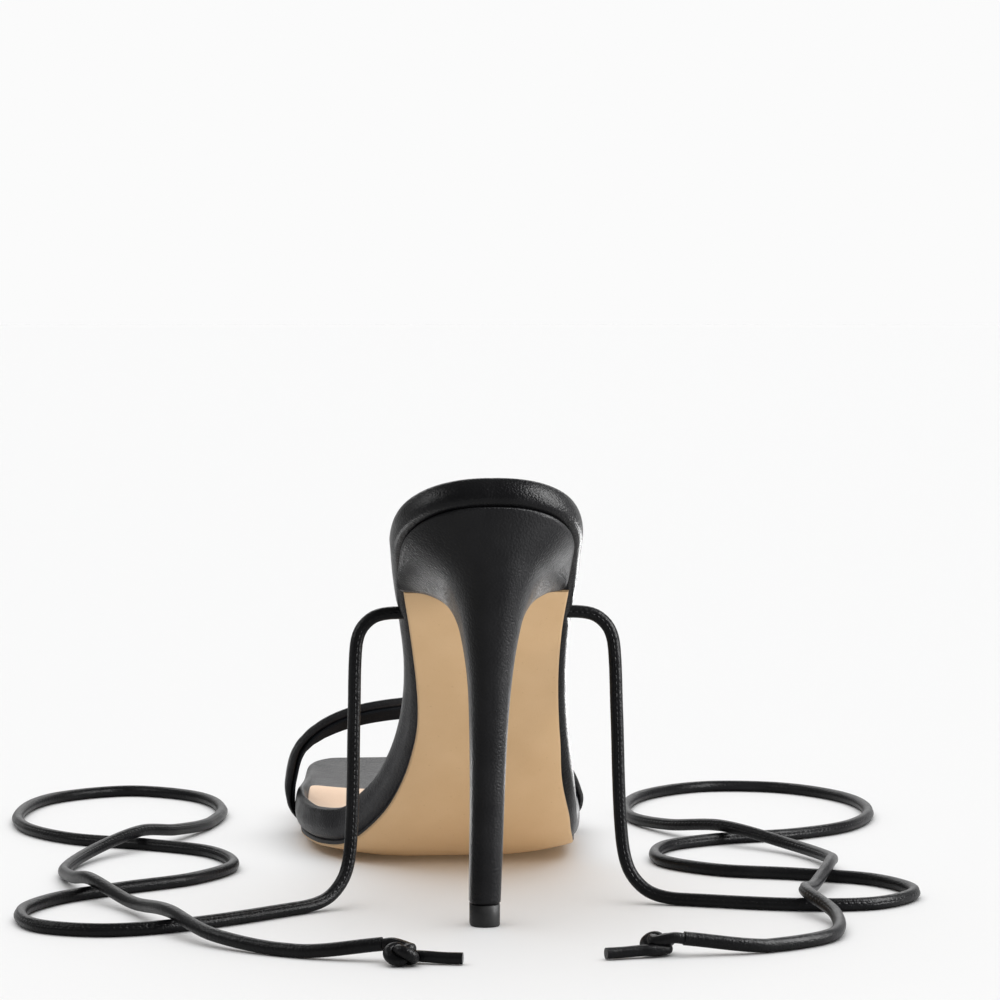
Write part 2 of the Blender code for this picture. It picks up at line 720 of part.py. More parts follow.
def build_strap():
    """Toe strap: one band from rim to rim over the toes."""
    keyed = keyed_by_length(strap_keys())
    whole = keyed[-1][0]
    spots = []
    for i in range(STRAP_STATIONS + 1):
        at = whole * i / STRAP_STATIONS
        x, z, thick = (curved_read(keyed, at, column) for column in (1, 2, 3))
        spots.append((Vector((SEAT_BACK_X + x, strap_forward(x, z), z)), thick, strap_lean(x, z)))
    mesh = bmesh.new()
    loops = []
    for i, (spot, thick, lean) in enumerate(spots):
        before, after = spots[max(0, i - 1)][0], spots[min(len(spots) - 1, i + 1)][0]
        run = Vector((after.x - before.x, 0.0, after.z - before.z)).normalized()
        outwards = Vector((-run.z, 0.0, run.x))
        width = Vector((0.0, math.cos(lean), 0.0)) - outwards * math.sin(lean)
        through = outwards * math.cos(lean) + Vector((0.0, math.sin(lean), 0.0))
        loops.append([mesh.verts.new((spot + width * w + through * t) * MM)
                      for w, t in strap_profile(thick)])
    for low, high in zip(loops, loops[1:]):
        for i in range(len(low)):
            j = (i + 1) % len(low)
            mesh.faces.new((low[i], low[j], high[j], high[i]))
    mesh.faces.new(loops[0])
    mesh.faces.new(loops[-1])
    solid("toe_strap", mesh, BLACK_LEATHER)


def cut_tie_slots(footbed):
    """Cuts the two slots in the footbed's lower edge that the ties come out of."""
    for side, column in (("medial", 1), ("lateral", 2)):
        edge = edge_at(TIE_SLOT_ALONG, column)
        outwards = math.copysign(1.0, edge)
        middle = edge + outwards * (TIE_SLOT_PAST - TIE_SLOT_DEPTH) / 2.0
        mesh = bmesh.new()
        bmesh.ops.create_cone(mesh, cap_ends=True, segments=TIE_SLOT_SIDES,
                              radius1=TIE_SLOT_RADIUS * MM, radius2=TIE_SLOT_RADIUS * MM,
                              depth=(TIE_SLOT_DEPTH + TIE_SLOT_PAST) * MM)
        turned = Vector((0.0, 0.0, 1.0)).rotation_difference(Vector((1.0, 0.0, 0.0)))
        bmesh.ops.rotate(mesh, verts=mesh.verts, matrix=turned.to_matrix())
        spot = sole_point(TIE_SLOT_ALONG, middle, TIE_SLOT_HEIGHT)
        bmesh.ops.translate(mesh, verts=mesh.verts, vec=spot)
        cutter = solid("slot_cutter_" + side, mesh, BLACK_TIP)
        cutter.hide_render = True
        cutter.display_type = "WIRE"
        cut = footbed.modifiers.new("slot_" + side, "BOOLEAN")
        cut.operation = "DIFFERENCE"
        cut.solver = "EXACT"
        cut.object = cutter


def smooth_route(points):
    """Points on a smooth curve through a tie's route, kept off the floor."""
    keyed = keyed_by_length(points)
    marks = [low[0] + (high[0] - low[0]) * step / TIE_STEPS
             for low, high in zip(keyed, keyed[1:]) for step in range(TIE_STEPS)]
    spots = []
    for at in marks + [keyed[-1][0]]:
        x, y, z = (curved_read(keyed, at, column) for column in (1, 2, 3))
        spots.append(Vector((x, y, max(z, TIE_FLOOR))))
    return spots


def build_tie(name, points):
    """One round ankle tie along its route."""
    curve = bpy.data.curves.new(name, "CURVE")
    curve.dimensions = "3D"
    curve.bevel_depth = TIE_DIAMETER / 2.0 * MM
    curve.bevel_resolution = TIE_BEVEL_RESOLUTION
    curve.use_fill_caps = True
    spots = smooth_route(points)
    line = curve.splines.new("POLY")
    line.points.add(len(spots) - 1)
    for point, spot in zip(line.points, spots):
        point.co = (*(spot * MM), 1.0)
    curve.materials.append(material_of(name, BLACK_LEATHER))
    bpy.context.scene.collection.objects.link(bpy.data.objects.new(name, curve))


def build_knot(name, points):
    """Overhand knot and cut end beyond the last point of a tie."""
    end = Vector(points[-1])
    run = smooth_route(points)[-2]
    ahead = (end - run).normalized()
    turned = Vector((0.0, 0.0, 1.0)).rotation_difference(ahead).to_matrix()
    mesh = bmesh.new()
    loops = []
    for ring in KNOT_RINGS:
        made = bmesh.ops.create_circle(mesh, segments=KNOT_SIDES, radius=ring.radius * MM)
        bmesh.ops.rotate(mesh, verts=made["verts"], matrix=turned)
        bmesh.ops.translate(mesh, verts=made["verts"], vec=(end + ahead * ring.along) * MM)
        loops.append(made["verts"])
    for low, high in zip(loops, loops[1:]):
        for i in range(KNOT_SIDES):
            j = (i + 1) % KNOT_SIDES
            mesh.faces.new((low[i], low[j], high[j], high[i]))
    mesh.faces.new(loops[0])
    mesh.faces.new(loops[-1])
    solid(name, mesh, BLACK_LEATHER)


def main():
    """Builds every piece of the sandal."""
    for old in list(bpy.data.objects):
        bpy.data.objects.remove(old)
    slab("outsole", TAN_SOLE, OUTSOLE_WALL, outsole_stations)
    footbed = slab("footbed", BLACK_LEATHER, FOOTBED_WALL, full_stations, dished_high=True)
    cut_tie_slots(footbed)
    slab("insole_sock", NUDE_SOCK, SOCK_WALL, sock_stations, dished_low=True, dished_high=True)
    build_heel()
    build_top_piece()
    build_strap()
    for side, route in (("medial", MEDIAL_TIE), ("lateral", LATERAL_TIE)):
        build_tie("tie_" + side, route)
        build_knot("knot_" + side, route)


main()
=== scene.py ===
"""Looks of a square toe stiletto sandal: its leathers, sole, sock, ankle ties and a plain studio.

Tables hold the shoe's own sizes in millimetres. Meshes are in metres in the frame's axes: +Z is up
from the floor, +Y runs from the heel to the toe and +X points to the outer side of the foot.
"""

import logging
import math
from bisect import bisect_left
from collections.abc import Callable, Sequence
from dataclasses import dataclass
from enum import Enum
from functools import cached_property
from typing import ClassVar, NamedTuple

import bmesh
import bpy
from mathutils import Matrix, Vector


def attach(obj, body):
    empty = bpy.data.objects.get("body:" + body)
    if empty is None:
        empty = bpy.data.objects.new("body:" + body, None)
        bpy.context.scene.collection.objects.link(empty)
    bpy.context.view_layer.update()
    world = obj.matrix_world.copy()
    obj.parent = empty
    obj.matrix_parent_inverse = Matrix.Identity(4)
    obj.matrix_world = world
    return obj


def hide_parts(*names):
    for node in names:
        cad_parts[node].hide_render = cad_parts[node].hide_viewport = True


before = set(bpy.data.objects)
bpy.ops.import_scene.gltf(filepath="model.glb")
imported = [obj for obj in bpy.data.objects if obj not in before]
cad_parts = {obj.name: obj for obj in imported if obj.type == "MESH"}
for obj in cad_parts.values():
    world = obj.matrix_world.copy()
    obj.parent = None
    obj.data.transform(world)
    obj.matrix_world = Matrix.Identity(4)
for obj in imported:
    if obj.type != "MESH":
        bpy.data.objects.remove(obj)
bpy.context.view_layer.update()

Colour = tuple[float, float, float, float]
Place = tuple[float, float, float]
Range = tuple[float, float]
Sockets = dict[str | int, object]
Material = bpy.types.Material
Mesh = bmesh.types.BMesh
Piece = bpy.types.Object
Socket = bpy.types.NodeSocket

LOG = logging.getLogger("sandal")
MM = 0.001
WELD = 1e-7
BODY = "root"
UP = Vector((0.0, 0.0, 1.0))
BACK = Vector((0.0, -1.0, 0.0))
PIECES: dict[str, Piece] = {}


class Side(Enum):
    """Side of the foot, with the sign of X on that side."""

    MEDIAL = -1
    LATERAL = 1


class Slot(Enum):
    """Finish slots of the part's record."""

    LEATHER = "black_leather"
    CORD = "black_cord"
    SOCK = "nude_sock"
    SOLE = "tan_sole"
    TIP = "tip_rubber"


class Mark(NamedTuple):
    """Slope in degrees, or height, that holds at a distance along the sole or in from its edge."""

    along: float
    amount: float


class Edge(NamedTuple):
    """Medial and lateral edge, or what is added to them, at a distance along the sole."""

    along: float
    medial: float
    lateral: float


class Wall(NamedTuple):
    """One step of a layer's edge: inside the footbed's edge, above the tread, share of the tuck."""

    inset: float
    height: float
    tuck: float = 0.0


class HeelSection(NamedTuple):
    """One section of the heel between its back line and its breast line, seen from the side."""

    back_y: float
    back_z: float
    breast_y: float
    breast_z: float
    half_width: float
    centre_x: float
    widest: float = 0.5
    corner: float = 5.0


class StrapFoot(NamedTuple):
    """Foot of the toe strap on the footbed's edge: outwards of the edge, up, thickness."""

    outwards: float
    up: float
    thickness: float


class StrapEnd(NamedTuple):
    """End of the toe strap: along the sole, its side's place and height, squareness, thickness, foot."""

    side: Side
    along: float
    x: float
    widest: float
    square: float
    thick: float
    foot: tuple[StrapFoot, ...]


class StrapBand(NamedTuple):
    """Band of the toe strap: its faces lie at shares of the strap's half thickness."""

    name: str
    width: float
    fullness: float
    inner: float
    outer: float


class Crease(NamedTuple):
    """Soft trough across the strap: share along it, depth and half width."""

    share: float
    depth: float
    reach: float


def ease(share: float) -> float:
    """Smooth step from 0 to 1."""
    held = min(1.0, max(0.0, share))
    return held * held * (3.0 - 2.0 * held)


def bell(distance: float, reach: float) -> float:
    """Soft hump, 1 at no distance and near 0 past twice the reach."""
    return math.exp(-((distance / reach) ** 2))


def squared(share: float, power: float) -> float:
    """Power of a share that keeps its sign, for rounded squares."""
    return math.copysign(abs(share) ** power, share)


class Table:
    """Rows of numbers that are read between rows by the key in their first column."""

    def __init__(self, rows: Sequence[Sequence[float]]) -> None:
        """Keeps the rows and the slope of each column at each row.

        Args:
            rows: rows of numbers whose first column rises.
        """
        self.rows = [tuple(row) for row in rows]
        self.keys = [row[0] for row in self.rows]
        self.slopes = []
        for low, high in zip(self.rows[:1] + self.rows[:-1], self.rows[1:] + self.rows[-1:]):
            self.slopes.append([(b - a) / (high[0] - low[0]) for a, b in zip(low, high)])

    @classmethod
    def by_length(cls, points: Sequence[Sequence[float]]) -> "Table":
        """Keys each point by its distance along the broken line through the points.

        Args:
            points: points of a line, in order.

        Returns:
            A table with the distance before each point's own numbers.
        """
        rows = [(0.0, *points[0])]
        for low, high in zip(points, points[1:]):
            rows.append((rows[-1][0] + math.dist(low, high), *high))
        return cls(rows)

    @property
    def end(self) -> float:
        """Key of the last row."""
        return self.keys[-1]

    def spot(self, at: float) -> tuple[int, float]:
        """Finds the row before a key.

        Args:
            at: the key, held to the table's own range.

        Returns:
            The row's number and the share of the way to the next row.
        """
        held = min(max(at, self.keys[0]), self.keys[-1])
        low = max(0, bisect_left(self.keys, held) - 1)
        return low, (held - self.keys[low]) / (self.keys[low + 1] - self.keys[low])

    def eased(self, at: float, column: int = 1) -> float:
        """Reads a column with an eased step between rows.

        Args:
            at: the key.
            column: number of the column.

        Returns:
            The column's value there.
        """
        low, share = self.spot(at)
        start, end = self.rows[low][column], self.rows[low + 1][column]
        return start + (end - start) * ease(share)

    def curved(self, at: float, column: int = 1) -> float:
        """Reads a column on a smooth curve through the rows.

        Args:
            at: the key.
            column: number of the column.

        Returns:
            The column's value there.
        """
        low, t = self.spot(at)
        run = self.keys[low + 1] - self.keys[low]
        start, end = self.rows[low][column], self.rows[low + 1][column]
        rise = (t ** 3 - 2 * t ** 2 + t) * run * self.slopes[low][column]
        fall = (t ** 3 - t ** 2) * run * self.slopes[low + 1][column]
        return start + (end - start) * ease(t) + rise + fall

    def point(self, at: float) -> Vector:
        """Reads columns 1 to 3 as a point on a smooth curve."""
        return Vector([self.curved(at, column) for column in (1, 2, 3)])

    def walk(self, count: int) -> list[Vector]:
        """Points at even steps from the first row to the last."""
        return [self.point(self.end * i / count) for i in range(count + 1)]


class Graph:
    """Node tree with short ways to add and join its nodes."""

    def __init__(self, tree: bpy.types.NodeTree) -> None:
        """Takes over a tree and adds the coordinates that its nodes follow."""
        self.tree = tree
        self.places = tree.nodes.new("ShaderNodeTexCoord").outputs

    def set(self, node: str | bpy.types.Node, sockets: Sockets) -> None:
        """Joins or sets a node's inputs.

        Args:
            node: the node or its name.
            sockets: input name or number to another node's output, or to a plain value.
        """
        inputs = self.tree.nodes[node].inputs if isinstance(node, str) else node.inputs
        for key, value in sockets.items():
            if isinstance(value, Socket):
                self.tree.links.new(value, inputs[key])
            else:
                inputs[key].default_value = value

    def add(self, kind: str, sockets: Sockets, output: str | int = 0, **settings: object) -> Socket:
        """Adds a node.

        Args:
            kind: the node's type, without its common first word.
            sockets: inputs, as in set.
            output: name or number of the output that is wanted.
            settings: the node's own options.

        Returns:
            The wanted output.
        """
        node = self.tree.nodes.new("ShaderNode" + kind)
        for key, value in settings.items():
            setattr(node, key, value)
        self.set(node, sockets)
        return node.outputs[output]

    def math(self, operation: str, first: object, second: object = 0.0) -> Socket:
        """Adds a sum of two numbers, named by its operation."""
        return self.add("Math", {0: first, 1: second}, operation=operation)

    def noise(self, size: float, detail: float = 2.0, stretch: Place | None = None) -> Socket:
        """Adds soft noise.

        Args:
            size: size of its blots in millimetres.
            detail: octaves of finer noise.
            stretch: scale of each axis, where the blots aren't round.

        Returns:
            The noise's value.
        """
        place = self.places["Object"]
        if stretch is not None:
            place = self.add("Mapping", {"Vector": place, "Scale": stretch})
        return self.add("TexNoise", {"Vector": place, "Scale": 1.0 / (size * MM), "Detail": detail})

    def pebbles(self, size: float, smoothness: float, sway: float = 0.4) -> Socket:
        """Adds rounded cells of leather grain.

        Args:
            size: size of a cell in millimetres.
            smoothness: how far the cells run together, 0 to 1.
            sway: waves in a cell's length that bend the rows of cells.

        Returns:
            Distance from each cell's middle, in cells.
        """
        waves = self.add("TexNoise", {"Vector": self.places["Object"], "Scale": sway / (size * MM)}, "Color")
        place = self.add("VectorMath", {0: waves, 1: (size * MM,) * 3}, operation="MULTIPLY")
        place = self.add("VectorMath", {0: place, 1: self.places["Object"]})
        return self.add("TexVoronoi", {"Vector": place, "Scale": 1.0 / (size * MM),
                                       "Smoothness": smoothness}, "Distance", feature="SMOOTH_F1")

    def mapped(self, value: Socket, source: Range, target: Range, **settings: object) -> Socket:
        """Maps one range of a value onto another."""
        return self.add("MapRange", {"Value": value, "From Min": source[0], "From Max": source[1],
                                     "To Min": target[0], "To Max": target[1]}, **settings)

    def spread(self, noise: Socket, low: float = 0.0, high: float = 1.0) -> Socket:
        """Spreads noise, which mostly keeps between 0.3 and 0.7, over a range."""
        return self.mapped(noise, (0.3, 0.7), (low, high))

    def about(self, noise: Socket, middle: float, swing: float) -> Socket:
        """Spreads noise to both sides of a middle value."""
        return self.spread(noise, middle - swing, middle + swing)

    def mixed(self, share: Socket, low: Colour | Socket, high: Colour) -> Socket:
        """Mixes two colours by a share."""
        return self.add("Mix", {0: share, 6: low, 7: high}, 2, data_type="RGBA")

    def bump(self, height: Socket, rise: float, under: Socket | None = None) -> Socket:
        """Adds relief.

        Args:
            height: height from 0 to 1.
            rise: its full height in millimetres.
            under: coarser relief that it lies on.

        Returns:
            The new normal.
        """
        sockets: Sockets = {"Height": height, "Distance": rise * MM, "Strength": 1.0}
        if under is not None:
            sockets["Normal"] = under
        return self.add("Bump", sockets)


@dataclass(frozen=True)
class Finish:
    """Finish of a surface, made of nodes alone."""

    name: str

    def surface(self, graph: Graph) -> Sockets:
        """Adds the finish's nodes and gives the shader's inputs."""
        raise NotImplementedError

    def material(self) -> Material:
        """Makes the finish's material.

        Returns:
            The material.
        """
        made = bpy.data.materials.new(self.name)
        made.use_nodes = True
        graph = Graph(made.node_tree)
        graph.set("Principled BSDF", self.surface(graph))
        return made


@dataclass(frozen=True)
class Leather(Finish):
    """Smooth coloured leather with a fine pebble grain."""

    deep: Colour = (0.0025, 0.0025, 0.003, 1.0)
    bloom: Colour = (0.006, 0.006, 0.0065, 1.0)
    cloud: float = 11.0
    roughness: float = 0.33
    swing: float = 0.04
    patch: float = 4.0
    gloss: float = 0.13
    pebble: float = 0.6
    pebble_merge: float = 0.35
    pebble_rise: float = 0.09
    pore: float = 0.35
    pore_depth: float = 0.5
    hide: float = 7.0
    hide_rise: float = 0.07
    pull: float = 0.8
    pull_stretch: Place = (0.06, 0.06, 1.0)
    pull_rise: float = 0.0

    def surface(self, graph: Graph) -> Sockets:
        """Adds clouds of colour, patches of sheen, grain with pores, the hide's swell and its pulls.

        Args:
            graph: the material's nodes.

        Returns:
            Inputs of the shader.
        """
        grain = graph.math("MULTIPLY", graph.pebbles(self.pebble, self.pebble_merge), -1.0)
        pores = graph.math("MULTIPLY", graph.noise(self.pebble * self.pore, 3.0), self.pore_depth)
        relief = graph.bump(graph.noise(self.hide), self.hide_rise)
        if self.pull_rise:
            pulls = graph.noise(self.pull, stretch=self.pull_stretch)
            relief = graph.bump(pulls, self.pull_rise, relief)
        return {
            "Base Color": graph.mixed(graph.spread(graph.noise(self.cloud)), self.deep, self.bloom),
            "Roughness": graph.about(graph.noise(self.patch, 3.0), self.roughness, self.swing),
            "Specular IOR Level": self.gloss,
            "Normal": graph.bump(graph.math("ADD", grain, pores), self.pebble_rise, relief),
        }


@dataclass(frozen=True)
class CordLeather(Leather):
    """Leather of the round ties, with the stitches of the seam along them."""

    length: float = 800.0
    stitch: float = 1.6
    seam_at: float = 0.25
    seam_half_width: float = 0.035
    stitch_rise: float = 0.16

    def surface(self, graph: Graph) -> Sockets:
        """Adds the stitches to the leather.

        Args:
            graph: the material's nodes.

        Returns:
            Inputs of the shader.
        """
        inputs = super().surface(graph)
        along = graph.add("SeparateXYZ", {0: graph.places["UV"]}, "X")
        turns = graph.math("MULTIPLY", along, self.length / self.stitch)
        swell = graph.math("ABSOLUTE", graph.math("SINE", graph.math("MULTIPLY", turns, math.pi)))
        off = graph.math("ABSOLUTE", graph.math("SUBTRACT", along.node.outputs["Y"], self.seam_at))
        near = graph.mapped(off, (0.0, self.seam_half_width), (1.0, 0.0), interpolation_type="SMOOTHSTEP")
        stitches = graph.math("MULTIPLY", swell, near)
        inputs["Normal"] = graph.bump(stitches, self.stitch_rise, inputs["Normal"])
        return inputs


@dataclass(frozen=True)
class PlainHide(Finish):
    """Matte surface of two close colours with a fine relief."""

    pale: Colour
    dark: Colour
    blot: float = 14.0
    roughness: float = 0.55
    swing: float = 0.08
    gloss: float = 0.35
    rub: float = 0.5
    rub_stretch: Place | None = None
    rub_rise: float = 0.02

    def worn(self, graph: Graph) -> tuple[Socket, Socket]:
        """Noise that the sheen follows, and the relief of a rubbed or fibrous surface."""
        rub = graph.noise(self.rub, 4.0, self.rub_stretch)
        return rub, graph.bump(rub, self.rub_rise)

    def surface(self, graph: Graph) -> Sockets:
        """Adds blots of colour and the surface's wear."""
        sheen, relief = self.worn(graph)
        return {
            "Base Color": graph.mixed(graph.spread(graph.noise(self.blot, 3.0)), self.pale, self.dark),
            "Roughness": graph.about(sheen, self.roughness, self.swing),
            "Specular IOR Level": self.gloss,
            "Normal": relief,
        }


@dataclass(frozen=True)
class SoleLeather(PlainHide):
    """Tan sole leather with faint specks."""

    speck: Colour = (0.36, 0.22, 0.11, 1.0)
    speck_size: float = 0.8
    speck_range: Range = (0.7, 0.8)
    speck_share: float = 0.35

    def surface(self, graph: Graph) -> Sockets:
        """Adds the specks to the sole's surface.

        Args:
            graph: the material's nodes.

        Returns:
            Inputs of the shader.
        """
        inputs = super().surface(graph)
        specks = graph.mapped(graph.noise(self.speck_size, 1.0), self.speck_range, (0.0, self.speck_share))
        inputs["Base Color"] = graph.mixed(specks, inputs["Base Color"], self.speck)
        return inputs


@dataclass(frozen=True)
class SockLeather(PlainHide):
    """Nude lining leather with round pores."""

    patch: float = 5.0
    pore: float = 0.45
    pore_merge: float = 0.4
    pore_rise: float = 0.03

    def worn(self, graph: Graph) -> tuple[Socket, Socket]:
        """Patches that the sheen follows, and the relief of the pores."""
        pores = graph.math("MULTIPLY", graph.pebbles(self.pore, self.pore_merge), -1.0)
        return graph.noise(self.patch), graph.bump(pores, self.pore_rise)


@dataclass(frozen=True)
class FloorPaint(Finish):
    """Plain pale paint of the studio's floor."""

    colour: Colour = (0.86, 0.86, 0.86, 1.0)
    roughness: float = 0.7
    gloss: float = 0.2

    def surface(self, graph: Graph) -> Sockets:
        """Gives the shader's inputs."""
        return {"Base Color": self.colour, "Roughness": self.roughness, "Specular IOR Level": self.gloss}


BLACK_LEATHER = Leather("black_leather")
KNOT_LEATHER = Leather("knot_leather")
HEEL_LEATHER = Leather("heel_leather", pull_rise=0.018)
LINING = Leather("strap_lining", (0.004, 0.0046, 0.0056, 1.0), (0.007, 0.008, 0.0096, 1.0),
                 roughness=0.7, gloss=0.02)
SOLE_LEATHER = SoleLeather("tan_sole_leather", (0.60, 0.405, 0.222, 1.0), (0.56, 0.37, 0.196, 1.0),
                           roughness=0.58, rub=0.35, rub_stretch=(1.0, 0.35, 1.0), rub_rise=0.03)
SOCK_LEATHER = SockLeather("nude_sock_leather", (0.86, 0.64, 0.47, 1.0), (0.82, 0.595, 0.425, 1.0),
                           blot=16.0, roughness=0.5, swing=0.06)
EDGE_DYE = PlainHide("edge_dye", (0.022, 0.022, 0.023, 1.0), (0.04, 0.04, 0.041, 1.0), blot=2.5)
TIP_RUBBER = PlainHide("tip_rubber", (0.007, 0.007, 0.0075, 1.0), (0.013, 0.013, 0.0135, 1.0), blot=2.5)


def sleeve(rings: Sequence[Sequence[Vector]]) -> Mesh:
    """Makes a closed tube with its own UV map: a sheet with welded long edges and capped ends.

    Args:
        rings: corners of each ring along the tube, in metres.

    Returns:
        The tube.
    """
    rows, sides = len(rings) - 1, len(rings[0])
    mesh = bmesh.new()
    mesh.loops.layers.uv.new("UVMap")
    bmesh.ops.create_grid(mesh, x_segments=rows, y_segments=sides, size=1.0, calc_uvs=True)
    for vert in mesh.verts:
        row = round((vert.co.x + 1.0) / 2.0 * rows)
        side = round((vert.co.y + 1.0) / 2.0 * sides)
        vert.co = rings[row][side % sides]
    bmesh.ops.remove_doubles(mesh, verts=mesh.verts, dist=WELD)
    bmesh.ops.holes_fill(mesh, edges=[edge for edge in mesh.edges if edge.is_boundary], sides=0)
    return mesh


def block(rows: int, columns: int, levels: int, place: Callable[[int, int, int], Vector]) -> Mesh:
    """Makes a closed block of quads.

    Args:
        rows: quads along it.
        columns: quads across it.
        levels: quads up its wall.
        place: gives the point of a row, column and level, in metres.

    Returns:
        The block.
    """
    mesh = bmesh.new()
    row, column, level = (mesh.verts.layers.float.new(name) for name in ("row", "column", "level"))
    bmesh.ops.create_grid(mesh, x_segments=rows, y_segments=columns, size=1.0)
    for vert in mesh.verts:
        vert[row] = (vert.co.x + 1.0) / 2.0 * rows
        vert[column] = (vert.co.y + 1.0) / 2.0 * columns
    raised = bmesh.ops.extrude_face_region(mesh, geom=mesh.faces[:])["geom"]
    for vert in raised:
        if isinstance(vert, bmesh.types.BMVert):
            vert[level] = levels
            vert.co.z = 1.0
    upright = [edge for edge in mesh.edges if edge.verts[0][level] != edge.verts[1][level]]
    bmesh.ops.subdivide_edges(mesh, edges=upright, cuts=levels - 1, use_grid_fill=True)
    for vert in mesh.verts:
        i, j, k = round(vert[row]), round(vert[column]), round(vert[level])
        vert.co = place(i, j, k)
        vert.index = (k * (rows + 1) + i) * (columns + 1) + j
    # The operators list what they make in an order that changes between runs, so it is sorted by place.
    mesh.verts.sort()
    mesh.verts.index_update()
    for parts in (mesh.edges, mesh.faces):
        for part in parts:
            around = [vert.index for vert in part.verts]
            part.index = min(around) * len(mesh.verts) + max(around)
        parts.sort()
        parts.index_update()
    return mesh


def dressed(name: str, mesh: Mesh, finishes: Sequence[Material], node: str = "",
            sharp: float = 60.0) -> Piece:
    """Puts a finished mesh into the scene as a piece that rides on the shoe.

    Args:
        name: name of the piece.
        mesh: its mesh, which is used up.
        finishes: its materials, in the order of its faces' numbers.
        node: node of the frame that it stands for.
        sharp: angle in degrees above which an edge stays sharp.

    Returns:
        The piece.
    """
    bmesh.ops.recalc_face_normals(mesh, faces=mesh.faces)
    data = bpy.data.meshes.new(name)
    mesh.to_mesh(data)
    mesh.free()
    data.shade_smooth()
    data.set_sharp_from_angle(angle=math.radians(sharp))
    for finish in finishes:
        data.materials.append(finish)
    piece = bpy.data.objects.new(name, data)
    bpy.context.scene.collection.objects.link(piece)
    PIECES[name] = piece
    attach(piece, BODY)
    if node:
        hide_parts(node)
    LOG.info("%s: %d faces", name, len(data.polygons))
    return piece


